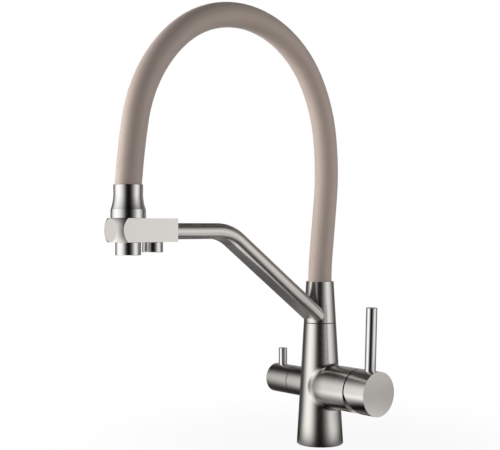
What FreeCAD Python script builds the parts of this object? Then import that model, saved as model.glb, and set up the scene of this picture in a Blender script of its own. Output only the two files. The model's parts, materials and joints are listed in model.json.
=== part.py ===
import FreeCAD, Part

import math
import os

# A kitchen mixer tap for mixed and filtered water, in millimetres.
# The origin is the middle of the base on the worktop, +Z is up, the spout reaches towards -Y,
# the mixer valve stands out along +X and the filtered water valve along -X.

# Column, one straight taper from the worktop to the rim where the hose comes out
base_radius = 25.0
rim_radius = 14.8
rim_cover = 6.5
base_edge = 0.8
seam_height = 129.5
slip_ring_thickness = 0.9
slip_ring_inset = 0.45
valve_height = 63.0

# Underside: two studs, three threaded ports and the seal under the base
stud_offset = 14.0
stud_hole_radius = 3.35
stud_hole_depth = 14.0
port_radius = 4.5
port_depth = 12.0
mixed_port_x = 8.5
mixed_port_y = 7.5
filtered_port_x = -10.5
passage_radius = 3.4
crossing_radius = 2.7
passage_head = 1.0
gasket_inner_radius = 19.6
gasket_outer_radius = 23.0
gasket_depth = 1.5

# Mixer valve housing and knob
mixer_radius = 23.0
mixer_root_radius = 19.4
mixer_root_length = 26.0
mixer_face = 53.5
mixer_gap = 1.0
mixer_knob_length = 31.1
mixer_knob_edge = 0.6
mixer_cavity_radius = 20.2
mixer_cavity_depth = 12.5
mixer_cut_angle = 26.0

# Mixer lever, a round pin screwed into the knob
mixer_lever_radius = 5.75
mixer_lever_place = 72.9
mixer_lever_length = 64.4
mixer_lever_lean = 2.0
mixer_lever_edge = 0.7
mixer_shank_radius = 4.0
mixer_shank_length = 9.0

# Mixer cartridge, lying along +X in the housing
cartridge_radius = 17.5
cartridge_wall = 1.4
cartridge_floor = 20.5
cartridge_base_thickness = 4.5
cartridge_seal_radius = 3.6
cartridge_seal_height = 0.6
disc_thickness = 4.0
moving_disc_radius = 12.3
mixing_pocket_wall = 4.0
driver_height = 4.0
driver_width = 20.0
driver_radius = 11.4
driver_floor = 0.6
carrier_flange_length = 5.5
carrier_neck_radius = 12.9
carrier_neck_length = 6.5
carrier_slot_end = 3.0
shoulder_thickness = 3.0
nut_thread_radius = 19.0
nut_length = 4.0
nut_opening_radius = 14.5
nut_slot_width = 3.0
dome_radius = 18.3
dome_wall = 1.4
dome_opening_radius = 13.0
pivot_setback = 6.0
pivot_pin_radius = 1.25
pivot_pin_inset = 0.6
stem_width = 8.0
stem_rest_tilt = 12.0
stem_reach = 24.5
stem_boss_radius = 4.6
stem_ball_radius = 2.2
stem_neck_radius = 2.0
knob_boss_radius = 7.8
knob_boss_start = 14.5
lever_foot_overlap = 0.4
water_hole_radius = 3.0
water_hole_circle = 8.0

# Filtered water valve housing and knob, lying along -X
filter_radius = 15.8
filter_face = 37.0
filter_gap = 0.6
filter_knob_length = 32.4
filter_knob_edge = 0.6
filter_cavity_radius = 12.3
filter_cavity_depth = 9.0
filter_chamber_radius = 9.6
filter_chamber_floor = 18.0

# Filter lever
filter_lever_radius = 4.7
filter_lever_place = 59.6
filter_lever_length = 18.1
filter_lever_edge = 0.6
filter_shank_radius = 3.0
filter_shank_length = 6.5

# Filter headwork
bonnet_thread_length = 10.0
bonnet_flange_radius = 11.6
bonnet_flange_thickness = 3.0
bonnet_nose_radius = 6.5
bonnet_nose_length = 2.6
bonnet_skirt_radius = 7.4
bonnet_skirt_wall = 0.9
bonnet_window_drop = 1.0
filter_disc_thickness = 2.4
filter_disc_lift = 0.4
spindle_radius = 3.4
spindle_tip_radius = 3.0
spindle_reach = 56.5
spindle_dog_thickness = 1.6
spindle_collar_thickness = 1.5
seat_seal_thickness = 2.0
filter_water_hole_radius = 1.9

# Swivel joint between the column and the spout
post_radius = 10.5
post_thread_radius = 12.0
post_thread_length = 22.0
post_land = 1.4
post_bore_radius = 4.6
filtered_way_radius = 1.3
filtered_crossing_radius = 1.1
filtered_way_offset = 7.2
ring_groove_depth = 1.6
ring_groove_width = 2.2
ring_heights = [134.6, 147.4, 150.8]
water_groove_height = 141.0
water_groove_width = 6.4
water_groove_depth = 1.6
retaining_groove_height = 154.4
retaining_groove_width = 3.4
retaining_groove_depth = 1.6
retaining_screw_radius = 2.5
retaining_tip_radius = 1.3
retaining_screw_inset = 0.8
retaining_hex_depth = 2.0

# Arm: a flat oval bar from the swivel cone up to the outlet block
arm_foot_height = 131.8
arm_rise_angle = 36.4
arm_bend_radius = 46.0
arm_half_width = 14.8
arm_half_height = 8.3
arm_wall = 1.6
arm_seam_gap = 1.2
arm_seat_depth = 7.5
water_tube_radius = 4.0
water_tube_wall = 1.0
water_tube_start = 14.4
water_tube_entry = 3.0

# Outlet block
reach = 244.6
outlet_height = 229.8
block_width = 32.0
block_height = 22.0
block_tail = 45.0
block_nose_radius = 22.0
block_nose_flat = 19.2
block_bore_radius = 5.5

# Hose: sleeve, flexible steel core and inner water hose, along one arch
hose_radius = 12.5
hose_sleeve_bore = 8.8
hose_core_bore = 7.6
inner_hose_radius = 7.5
inner_hose_bore = 5.0
hose_foot_straight = 8.0
hose_lean_radius = 230.0
hose_lean_angle = 6.3
hose_back_radius = 288.6
hose_back_heading = 7.5
hose_shoulder_radius = 157.3
hose_shoulder_heading = 29.7
hose_crown_radius = 116.5
hose_crown_heading = 129.7
hose_fall_radius = 144.3
hose_fall_heading = 170.0
hose_drop_radius = 630.0
hose_drop_heading = 175.2
hose_neck_radius = 100.0
hose_end_straight = 24.0

# Hose fittings
fitting_thread_radius = 9.0
fitting_thread_length = 7.0
fitting_flange_radius = 12.0
fitting_flange_thickness = 2.5
fitting_bore_radius = 3.6
fitting_clearance = 0.5
barb_radius = 4.9
barb_length = 9.0
barb_count = 3
barb_depth = 0.5
barb_root = 1.0

# Bell shaped collar on the block
collar_foot_radius = 16.3
collar_top_radius = 13.7
collar_height = 31.0
collar_flange_height = 7.5
collar_flare_top = 21.0
collar_bow = 0.55
collar_waist = 0.15
collar_seat_drop = 4.0
collar_wall = 1.5
collar_edge = 0.5

# Aerators
aerator_radius = 11.9
aerator_drop = 12.0
aerator_shank_radius = 10.0
aerator_shank_length = 6.0
aerator_edge = 0.5
aerator_wall = 1.6
aerator_insert_length = 9.0
aerator_seal_thickness = 1.5
filtered_place = 217.5
filtered_aerator_radius = 9.8
filtered_aerator_drop = 9.7
filtered_shank_radius = 7.4
filtered_shank_length = 4.5
filtered_wall = 1.4
filtered_insert_length = 7.0
filtered_channel_radius = 3.0
grid_plate = 1.2
insert_wall = 1.2
insert_recess = 2.0
filtered_insert_recess = 1.6
grid_cell = 1.15
grid_pitch = 2.9

# Grub screws
grub_radius = 2.5
grub_length = 8.0
grub_hex = 1.4
grub_hex_depth = 3.0
grub_wall = 1.0

# Clearances
running_fit = 0.05
thread_fit = 0.02
free_gap = 0.3
disc_gap = 0.02

ORIGIN = FreeCAD.Vector(0, 0, 0)
UP = FreeCAD.Vector(0, 0, 1)
DOWN = FreeCAD.Vector(0, 0, -1)
RIGHT = FreeCAD.Vector(1, 0, 0)
LEFT = FreeCAD.Vector(-1, 0, 0)
BACK = FreeCAD.Vector(0, 1, 0)

valve_centre = FreeCAD.Vector(0, 0, valve_height)
pivot_x = mixer_face - pivot_setback
pivot = FreeCAD.Vector(pivot_x, 0, valve_height)
slip_ring_top = seam_height + slip_ring_thickness
block_top = outlet_height + block_height / 2
block_bottom = outlet_height - block_height / 2
post_top = retaining_groove_height + retaining_groove_width / 2 + post_land
hose_seat_height = post_top + fitting_clearance + fitting_thread_length + fitting_flange_thickness
rim_height = hose_seat_height + rim_cover
arch_bends = [
    (hose_back_radius, hose_back_heading),
    (hose_shoulder_radius, hose_shoulder_heading),
    (hose_crown_radius, hose_crown_heading),
    (hose_fall_radius, hose_fall_heading),
    (hose_drop_radius, hose_drop_heading),
    (hose_neck_radius, 180.0),
]
mixer_knob_start = mixer_face + mixer_gap
mixer_knob_end = mixer_knob_start + mixer_knob_length
filter_knob_start = filter_face + filter_gap
filter_knob_end = filter_knob_start + filter_knob_length


def column_radius(height):
    """Outside radius of the tapered column at a height."""
    return base_radius + (rim_radius - base_radius) * height / rim_height


def outline_edges(outline, origin, side, axis):
    """Edges of a closed outline; a point is (radius, place), an arc is (middle point, end point)."""
    def spot(pair):
        return origin + side * pair[0] + axis * pair[1]

    edges = []
    last = spot(outline[0])
    for item in list(outline[1:]) + [outline[0]]:
        if isinstance(item[0], tuple):
            end = spot(item[1])
            edges.append(Part.Arc(last, spot(item[0]), end).toShape())
        else:
            end = spot(item)
            if (end - last).Length < 1e-7:
                continue
            edges.append(Part.LineSegment(last, end).toShape())
        last = end
    return edges


def turned(outline, origin=ORIGIN, axis=UP):
    """Solid turned about an axis from an outline of radius and place along the axis."""
    side = RIGHT if abs(axis.z) > 0.5 else UP
    wire = Part.Wire(outline_edges(outline, origin, side, axis))
    return Part.Face(wire).revolve(origin, axis, 360)


def ring(inner, outer, start, end, origin=ORIGIN, axis=UP):
    """Plain ring or tube between two places along an axis."""
    return turned([(inner, start), (outer, start), (outer, end), (inner, end)], origin, axis)


def rod(radius, start, end, origin=ORIGIN, axis=UP):
    """Plain round bar between two places along an axis."""
    return Part.makeCylinder(radius, end - start, origin + axis * start, axis)


def o_ring(centre_radius, thickness, place, origin=ORIGIN, axis=UP):
    """Round rubber ring."""
    return Part.makeTorus(centre_radius, thickness / 2, origin + axis * place, axis)


def joined(shapes):
    """One solid from pieces that meet."""
    return shapes[0].multiFuse(shapes[1:]).removeSplitter()


def heading(degrees):
    """Direction in the spout's plane: 0 is up, 90 is out along the spout, 180 is down."""
    angle = math.radians(degrees)
    return FreeCAD.Vector(0, -math.sin(angle), math.cos(angle))


def lay_path(start, first_heading, steps):
    """Runs and tangent bends laid end to end; a step is a length, or a radius and a new heading."""
    path = []
    point = start
    angle = first_heading
    for step in steps:
        if isinstance(step, tuple):
            radius, new_angle = step
            turn = new_angle - angle
            inward = heading(angle + 90) * (1 if turn > 0 else -1)
            centre = point + inward * radius
            path.append({"start": point, "heading": angle, "centre": centre, "turn": turn, "radius": radius})
            spoke = FreeCAD.Rotation(RIGHT, turn).multVec(point - centre)
            point = centre + spoke
            angle = new_angle
        else:
            path.append({"start": point, "heading": angle, "length": step})
            point = point + heading(angle) * step
    return path


def path_length(path):
    """Length along a laid path."""
    total = 0.0
    for piece in path:
        if "length" in piece:
            total += piece["length"]
        else:
            total += math.radians(abs(piece["turn"])) * piece["radius"]
    return total


def swept(path, section):
    """Solid along a laid path; section gives the face at a point and heading."""
    solids = []
    for piece in path:
        face = section(piece["start"], piece["heading"])
        if "length" in piece:
            solids.append(face.extrude(heading(piece["heading"]) * piece["length"]))
        else:
            solids.append(face.revolve(piece["centre"], RIGHT, piece["turn"]))
    if len(solids) == 1:
        return solids[0]
    return solids[0].multiFuse(solids[1:])


def round_section(radius, bore=0.0):
    """Disc or ring across the path."""
    def section(point, angle):
        axis = heading(angle)
        outer = Part.Wire(Part.Circle(point, axis, radius).toShape())
        if bore <= 0:
            return Part.Face(outer)
        inner = Part.Wire(Part.Circle(point, axis, bore).toShape())
        return Part.Face(outer).cut(Part.Face(inner)).Faces[0]
    return section


def oval_section(half_width, half_height):
    """Oval face across the path, wide along X."""
    def section(point, angle):
        across = point + RIGHT * half_width
        above = point + heading(angle - 90) * half_height
        return Part.Face(Part.Wire(Part.Ellipse(across, above, point).toShape()))
    return section


def solve_arch():
    """Scale of the arch and length of its leaning leg, from where the hose starts and ends."""
    lean = math.radians(hose_lean_angle)
    across = 0.0
    rise = 0.0
    before = -hose_lean_angle
    for radius, after in arch_bends:
        across += radius * (math.cos(math.radians(before)) - math.cos(math.radians(after)))
        rise += radius * (math.sin(math.radians(after)) - math.sin(math.radians(before)))
        before = after
    foot_across = -hose_lean_radius * (1 - math.cos(lean))
    foot_rise = hose_foot_straight + hose_lean_radius * math.sin(lean)
    hose_end_height = block_top + fitting_flange_thickness + free_gap
    left_over = hose_end_height + hose_end_straight - hose_seat_height - foot_rise
    scale = (reach - foot_across + left_over * math.tan(lean)) / (across + rise * math.tan(lean))
    leg = (left_over - scale * rise) / math.cos(lean)
    return scale, leg


arch_scale, leaning_leg = solve_arch()
hose_path = lay_path(
    FreeCAD.Vector(0, 0, hose_seat_height),
    0.0,
    [hose_foot_straight, (hose_lean_radius, -hose_lean_angle), leaning_leg]
    + [(radius * arch_scale, after) for radius, after in arch_bends]
    + [hose_end_straight],
)

arm_heading = 90.0 - arm_rise_angle
arm_corner = (outlet_height - arm_foot_height) / math.tan(math.radians(arm_rise_angle))
arm_tangent = arm_bend_radius * math.tan(math.radians(arm_rise_angle / 2))
arm_incline = arm_corner / math.cos(math.radians(arm_rise_angle)) - arm_tangent
arm_foot = FreeCAD.Vector(0, 0, arm_foot_height)
block_tail_place = reach - block_tail
outlet_axis = FreeCAD.Vector(0, -reach, 0)
filtered_axis = FreeCAD.Vector(0, -filtered_place, 0)


def body_envelope():
    """Outside of the casting: the taper with both valve housings standing out of it."""
    taper = turned([
        (0, 0),
        (base_radius - base_edge, 0),
        (column_radius(base_edge), base_edge),
        (column_radius(seam_height), seam_height),
        (0, seam_height),
    ])
    root_arc = mixer_root_length
    drop = mixer_radius - mixer_root_radius
    bulge = (root_arc ** 2 + drop ** 2) / (2 * drop)
    half_way = math.asin(root_arc / bulge) / 2
    middle = (mixer_radius - bulge * (1 - math.cos(half_way)), root_arc - bulge * math.sin(half_way))
    mixer_housing = turned([
        (0, 0),
        (mixer_root_radius, 0),
        (middle, (mixer_radius, root_arc)),
        (mixer_radius, mixer_face),
        (0, mixer_face),
    ], valve_centre, RIGHT)
    filter_housing = rod(filter_radius, 0, filter_face, valve_centre, LEFT)
    return joined([taper, mixer_housing, filter_housing])


def mixer_chamber():
    """Bore for the cartridge and the wider thread for its nut."""
    thread_start = shoulder_outer_face()
    return joined([
        rod(cartridge_radius + free_gap, cartridge_floor, thread_start + free_gap, valve_centre, RIGHT),
        rod(nut_thread_radius + thread_fit, thread_start, mixer_face + 1, valve_centre, RIGHT),
    ])


def shoulder_outer_face():
    """Place along X of the cartridge shoulder that the nut presses on."""
    return cartridge_top() + shoulder_thickness


def cartridge_top():
    """Place along X where the carrier's flange meets the shoulder."""
    return carrier_start() + carrier_flange_length + disc_gap


def fixed_disc_start():
    """Place along X of the fixed disc's back."""
    return cartridge_floor + cartridge_seal_height + cartridge_base_thickness


def moving_disc_start():
    """Place along X of the moving disc's back."""
    return fixed_disc_start() + disc_thickness + disc_gap


def driver_start():
    """Place along X of the plastic driver on the moving disc."""
    return moving_disc_start() + disc_thickness


def carrier_start():
    """Place along X of the carrier's flange."""
    return driver_start() + driver_height + disc_gap


def stem_ball_reach():
    """Distance from the pivot to the stem's ball, which stands just clear of its pocket's floor."""
    return pivot_x - (driver_start() + driver_floor + stem_ball_radius + running_fit)


def water_spots():
    """Places of the three water ways in the discs, as offsets along Y and Z from the valve's axis."""
    low = -0.35 * water_hole_circle
    side = math.sqrt(water_hole_circle ** 2 - low ** 2)
    return [(side, low), (-side, low), (0, water_hole_circle)]


def mixer_water_ways():
    """Hot and cold ways from the ports to the cartridge, and the mixed way up to the post."""
    ways = []
    for side, low in water_spots()[:2]:
        port_y = math.copysign(mixed_port_y, side)
        floor = FreeCAD.Vector(0, side, valve_height + low)
        ways.append(rod(passage_radius, 0, valve_height + low + passage_head,
                        FreeCAD.Vector(mixed_port_x, port_y, 0)))
        ways.append(rod(crossing_radius, mixed_port_x, cartridge_floor + 1, floor, RIGHT))
    mixed = FreeCAD.Vector(0, 0, valve_height + water_spots()[2][1])
    ways.append(rod(crossing_radius, 0, cartridge_floor + 1, mixed, RIGHT))
    ways.append(rod(post_bore_radius, mixed.z - passage_head, post_foot() + 1))
    return ways


def post_foot():
    """Height of the swivel post's lower end in the column."""
    return seam_height - post_thread_length


def filter_water_ways():
    """Filtered way from its port to the headwork's seat, and on up to the post."""
    seat = FreeCAD.Vector(0, 0, valve_height)
    chamber_outlet = valve_height + filtered_outlet_offset()
    return [
        rod(passage_radius, 0, valve_height + passage_head, FreeCAD.Vector(filtered_port_x, 0, 0)),
        rod(crossing_radius, -filtered_port_x, filter_chamber_floor + 1, seat, LEFT),
        rod(filtered_crossing_radius, filtered_way_offset, filter_chamber_floor + 1,
            FreeCAD.Vector(0, 0, chamber_outlet), LEFT),
        rod(filtered_way_radius, chamber_outlet - filtered_crossing_radius / 2, post_foot() + 1,
            FreeCAD.Vector(-filtered_way_offset, 0, 0)),
    ]


def filtered_outlet_offset():
    """Height above the filter valve's axis of its outlet, outside the headwork's skirt."""
    return filter_chamber_radius - filtered_way_radius - 2 * free_gap


def build_body_shell():
    """The casting that is the column with both valve housings."""
    cuts = [mixer_chamber()]
    cuts.append(rod(filter_chamber_radius, filter_chamber_floor, filter_face + 1, valve_centre, LEFT))
    cuts.append(rod(post_thread_radius + thread_fit, post_foot(), seam_height + 1))
    cuts.append(ring(gasket_inner_radius, gasket_outer_radius, -1, gasket_depth))
    for x, y in port_places():
        cuts.append(rod(port_radius, -1, port_depth, FreeCAD.Vector(x, y, 0)))
    for y in (-stud_offset, stud_offset):
        cuts.append(rod(stud_hole_radius, -1, stud_hole_depth, FreeCAD.Vector(0, y, 0)))
    cuts += mixer_water_ways() + filter_water_ways()
    return body_envelope().cut(cuts[0].multiFuse(cuts[1:]))


def port_places():
    """Hot, cold and filtered ports under the base."""
    return [(mixed_port_x, mixed_port_y), (mixed_port_x, -mixed_port_y), (filtered_port_x, 0)]


def build_base_gasket():
    """Rubber ring let into the underside."""
    return ring(gasket_inner_radius + free_gap, gasket_outer_radius - free_gap, 0, gasket_depth)


def build_slip_ring():
    """Thin plastic ring that the spout turns on, seen as the seam."""
    return ring(post_radius + free_gap, column_radius(seam_height) - slip_ring_inset,
                seam_height, slip_ring_top)


def post_grooves():
    """Grooves in the post: rubber rings, filtered water and the retaining screw."""
    grooves = []
    for height in ring_heights:
        grooves.append((height, ring_groove_width, ring_groove_depth))
    grooves.append((water_groove_height, water_groove_width, water_groove_depth))
    grooves.append((retaining_groove_height, retaining_groove_width, retaining_groove_depth))
    return grooves


def build_swivel_post():
    """Brass post screwed into the column, with separate ways for both waters."""
    post = joined([
        rod(post_thread_radius, post_foot(), seam_height),
        rod(post_radius, seam_height, post_top),
    ])
    cuts = [rod(post_bore_radius, post_foot() - 1, post_top + 1)]
    for height, width, depth in post_grooves():
        cuts.append(ring(post_radius - depth, post_radius + 1, height - width / 2, height + width / 2))
    cuts.append(rod(filtered_way_radius, post_foot() - 1, water_groove_height + filtered_crossing_radius / 2,
                    FreeCAD.Vector(-filtered_way_offset, 0, 0)))
    cuts.append(rod(filtered_crossing_radius, filtered_way_offset, post_radius,
                    FreeCAD.Vector(0, 0, water_groove_height), LEFT))
    return post.cut(cuts[0].multiFuse(cuts[1:]))


def build_post_o_rings():
    """Rubber rings in the post's grooves."""
    thickness = ring_groove_depth
    centre = post_radius - ring_groove_depth / 2
    return Part.Compound([o_ring(centre, thickness - running_fit, height) for height in ring_heights])


def build_cartridge_base():
    """Plastic base of the cartridge with its three ports."""
    start = cartridge_floor + cartridge_seal_height
    plate = rod(cartridge_radius - cartridge_wall - free_gap, start, fixed_disc_start(), valve_centre, RIGHT)
    return plate.cut(water_holes(start, fixed_disc_start()))


def water_holes(start, end):
    """Three round ways through a disc of the cartridge."""
    holes = []
    for y, z in water_spots():
        holes.append(rod(water_hole_radius, start - 1, end + 1, valve_centre + FreeCAD.Vector(0, y, z), RIGHT))
    return Part.Compound(holes)


def build_cartridge_base_seals():
    """Rubber rings between the cartridge and the floor of its chamber."""
    rings = []
    for y, z in water_spots():
        spot = valve_centre + FreeCAD.Vector(0, y, z)
        rings.append(ring(water_hole_radius + free_gap, cartridge_seal_radius + free_gap,
                          cartridge_floor, cartridge_floor + cartridge_seal_height, spot, RIGHT))
    return Part.Compound(rings)


def build_cartridge_fixed_disc():
    """Ceramic disc that stays with the cartridge's base."""
    start = fixed_disc_start()
    end = start + disc_thickness
    disc = rod(cartridge_radius - cartridge_wall - free_gap, start, end, valve_centre, RIGHT)
    return disc.cut(water_holes(start, end))


def build_cartridge_housing():
    """Plastic can of the cartridge with the shoulder that holds the carrier."""
    inner = cartridge_radius - cartridge_wall
    return turned([
        (inner, cartridge_floor + cartridge_seal_height),
        (cartridge_radius, cartridge_floor + cartridge_seal_height),
        (cartridge_radius, shoulder_outer_face()),
        (carrier_neck_radius + running_fit, shoulder_outer_face()),
        (carrier_neck_radius + running_fit, cartridge_top()),
        (inner, cartridge_top()),
    ], valve_centre, RIGHT)


def build_cartridge_nut():
    """Brass ring nut that clamps the cartridge."""
    start = shoulder_outer_face()
    nut = ring(nut_opening_radius, nut_thread_radius, start, start + nut_length, valve_centre, RIGHT)
    slot = Part.makeBox(nut_length, nut_slot_width, 2 * nut_thread_radius + 2,
                        FreeCAD.Vector(start + nut_length / 2, -nut_slot_width / 2,
                                       valve_height - nut_thread_radius - 1))
    return nut.cut(slot)


def build_cartridge_dome():
    """Round cap over the nut, which the knob tilts around."""
    seat = shoulder_outer_face() + nut_length
    inner = dome_radius - dome_wall
    outer_seat = math.sqrt(dome_radius ** 2 - (seat - pivot_x) ** 2)
    inner_seat = math.sqrt(inner ** 2 - (seat - pivot_x) ** 2)
    outer_angle = math.asin(dome_opening_radius / dome_radius)
    outer_lip = pivot_x + dome_radius * math.cos(outer_angle)
    inner_lip = pivot_x + math.sqrt(inner ** 2 - dome_opening_radius ** 2)

    def on_ball(radius, start, end):
        angle = (math.atan2(start[0], start[1] - pivot_x) + math.atan2(end[0], end[1] - pivot_x)) / 2
        return (radius * math.sin(angle), pivot_x + radius * math.cos(angle))

    outer_start = (outer_seat, seat)
    outer_end = (dome_opening_radius, outer_lip)
    inner_start = (dome_opening_radius, inner_lip)
    inner_end = (inner_seat, seat)
    return turned([
        outer_start,
        (on_ball(dome_radius, outer_start, outer_end), outer_end),
        inner_start,
        (on_ball(inner, inner_start, inner_end), inner_end),
    ], valve_centre, RIGHT)


def build_mixer_carrier():
    """Plastic turning carrier: a flange, a neck with the stem's slot and two arms for the driver."""
    start = carrier_start()
    flange_radius = cartridge_radius - cartridge_wall - running_fit
    neck_end = shoulder_outer_face() + carrier_neck_length
    disc = joined([
        rod(flange_radius, start, cartridge_top() - disc_gap, valve_centre, RIGHT),
        rod(carrier_neck_radius, start, neck_end, valve_centre, RIGHT),
    ])
    arms = ring(0, flange_radius, driver_start() + disc_gap, start, valve_centre, RIGHT)
    between = driver_width + 2 * running_fit
    gap = Part.makeBox(driver_height + 2, between, 2 * flange_radius + 2,
                       FreeCAD.Vector(start - driver_height - 2, -between / 2,
                                      valve_height - flange_radius - 1))
    slot_width = 2 * (stem_boss_radius + running_fit)
    slot_length = 2 * (carrier_neck_radius - carrier_slot_end)
    slot = Part.makeBox(neck_end - start + 2, slot_width, slot_length,
                        FreeCAD.Vector(start - 1, -slot_width / 2, valve_height - slot_length / 2))
    pin_hole = rod(pivot_pin_radius, -carrier_neck_radius - 1, carrier_neck_radius + 1, pivot, BACK)
    return joined([disc, arms.cut(gap)]).cut(slot).cut(pin_hole)


def build_stem_pivot_pin():
    """Steel pin that the stem tilts on."""
    half = carrier_neck_radius - pivot_pin_inset
    return rod(pivot_pin_radius, -half, half, pivot, BACK)


def build_cartridge_moving_disc():
    """Ceramic disc that slides and turns on the fixed one, with its mixing pocket."""
    low = driver_rest_shift()
    centre = valve_centre + FreeCAD.Vector(0, 0, low)
    start = moving_disc_start()
    disc = rod(moving_disc_radius, start, start + disc_thickness, centre, RIGHT)
    pocket = rod(moving_disc_radius - mixing_pocket_wall, start - 1, start + disc_thickness / 2, centre, RIGHT)
    return disc.cut(pocket)


def driver_rest_shift():
    """How far the sliding disc sits from the valve's axis while the tap is shut."""
    return -stem_ball_reach() * math.sin(math.radians(stem_rest_tilt))


def build_cartridge_disc_driver():
    """Plastic driver on the moving disc, with the pocket for the stem's ball."""
    start = driver_start()
    centre = valve_centre + FreeCAD.Vector(0, 0, driver_rest_shift())
    plate = rod(driver_radius, start, start + driver_height, centre, RIGHT)
    guide = Part.makeBox(driver_height, driver_width, 2 * driver_radius,
                         FreeCAD.Vector(start, -driver_width / 2, centre.z - driver_radius))
    pocket = rod(stem_ball_radius + free_gap, start + driver_floor, start + driver_height + 1, centre, RIGHT)
    return plate.common(guide).cut(pocket)


def tilted(shape):
    """Stem and its socket, turned about the pivot to where the stem stands while shut."""
    turned_shape = shape.copy()
    turned_shape.rotate(pivot, BACK, -stem_rest_tilt)
    return turned_shape


def build_mixer_stem():
    """Steel stem: square end for the knob, round boss on the pin, ball in the driver."""
    half = stem_width / 2
    square = Part.makeBox(stem_reach, stem_width, stem_width, pivot + FreeCAD.Vector(0, -half, -half))
    boss = rod(stem_boss_radius, -half, half, pivot, BACK)
    neck = rod(stem_neck_radius, 0, stem_ball_reach(), pivot, LEFT)
    ball = Part.makeSphere(stem_ball_radius, pivot + LEFT * stem_ball_reach())
    hole = rod(pivot_pin_radius + running_fit, -half - 1, half + 1, pivot, BACK)
    return tilted(joined([square, boss, neck, ball]).cut(hole))


def stem_socket():
    """Square socket that takes the stem."""
    width = stem_width + 2 * thread_fit
    start = knob_boss_start - 1
    return tilted(Part.makeBox(stem_reach + thread_fit - start, width, width,
                               pivot + FreeCAD.Vector(start, -width / 2, -width / 2)))


def mixer_grub_place():
    """Where the mixer's grub screw enters the knob from below, and the stem's underside there."""
    x = mixer_knob_start + mixer_cavity_depth + grub_radius + grub_wall
    angle = math.radians(stem_rest_tilt)
    underside = (x - pivot_x) * math.tan(angle) - stem_width / 2 / math.cos(angle)
    return x, underside - grub_radius * math.tan(angle)


def build_mixer_knob():
    """Round knob, hollow over the dome, with the lower half of its back cut away to tilt."""
    edge = mixer_knob_edge
    knob = turned([
        (0, mixer_knob_start),
        (mixer_radius, mixer_knob_start),
        (mixer_radius, mixer_knob_end - edge),
        (mixer_radius - edge, mixer_knob_end),
        (0, mixer_knob_end),
    ], valve_centre, RIGHT)
    cavity = rod(mixer_cavity_radius, mixer_knob_start - 1, mixer_knob_start + mixer_cavity_depth,
                 valve_centre, RIGHT)
    boss = tilted(rod(knob_boss_radius, knob_boss_start, stem_reach, pivot, RIGHT))
    wedge_size = 2 * mixer_radius + 4
    wedge = Part.makeBox(wedge_size, wedge_size, wedge_size,
                         FreeCAD.Vector(mixer_knob_start - wedge_size, -wedge_size / 2,
                                        valve_height - wedge_size))
    wedge.rotate(FreeCAD.Vector(mixer_knob_start, 0, valve_height), BACK, -mixer_cut_angle)
    lower = Part.makeBox(mixer_knob_length, wedge_size, wedge_size,
                         FreeCAD.Vector(mixer_knob_start - 1, -wedge_size / 2, valve_height - wedge_size))
    knob = knob.cut(cavity).cut(wedge.common(lower))
    knob = knob.fuse(boss).cut(stem_socket())
    shank_hole = leaning_rod(mixer_shank_radius + thread_fit, shank_start(), mixer_radius + 1)
    grub_x, underside = mixer_grub_place()
    grub_hole = rod(grub_radius + thread_fit, -mixer_radius - 1, underside + 2,
                    FreeCAD.Vector(grub_x, 0, valve_height))
    return knob.cut(shank_hole).cut(grub_hole)


def lever_line():
    """Point on the valve's axis under the mixer lever, and the lever's leaning direction."""
    lean = math.radians(mixer_lever_lean)
    return FreeCAD.Vector(mixer_lever_place, 0, valve_height), FreeCAD.Vector(math.sin(lean), 0, math.cos(lean))


def shank_start():
    """Distance from the valve's axis where the mixer lever's shank ends."""
    return mixer_radius - mixer_shank_length


def leaning_rod(radius, start, end):
    """Round bar along the mixer lever's line."""
    point, direction = lever_line()
    return Part.makeCylinder(radius, end - start, point + direction * start, direction)


def build_mixer_lever():
    """Polished pin with a threaded shank, its foot shaped to the round knob."""
    point, direction = lever_line()
    foot = math.sqrt(mixer_radius ** 2 - mixer_lever_radius ** 2) - lever_foot_overlap
    top = mixer_radius + mixer_lever_length
    edge = mixer_lever_edge
    pin = turned([
        (0, foot),
        (mixer_lever_radius, foot),
        (mixer_lever_radius, top - edge),
        (mixer_lever_radius - edge, top),
        (0, top),
    ], point, UP)
    pin.rotate(point, BACK, mixer_lever_lean)
    pin = pin.cut(rod(mixer_radius + thread_fit, mixer_knob_start, mixer_knob_end + 5, valve_centre, RIGHT))
    return pin.fuse(leaning_rod(mixer_shank_radius, shank_start() + free_gap, mixer_radius + 1))


def grub_screw(top, place):
    """Socket screw standing along Z, its socket facing down."""
    body = rod(grub_radius, top - grub_length, top, place)
    hexagon = Part.makePolygon([
        place + FreeCAD.Vector(grub_hex * math.cos(math.radians(60 * k)),
                               grub_hex * math.sin(math.radians(60 * k)), top - grub_length)
        for k in range(7)
    ])
    socket = Part.Face(Part.Wire(hexagon)).extrude(UP * grub_hex_depth)
    return body.cut(socket)


def build_mixer_grub_screw():
    """Screw that clamps the knob on the stem, reached from below."""
    x, underside = mixer_grub_place()
    return grub_screw(valve_height + underside - disc_gap, FreeCAD.Vector(x, 0, 0))


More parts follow.
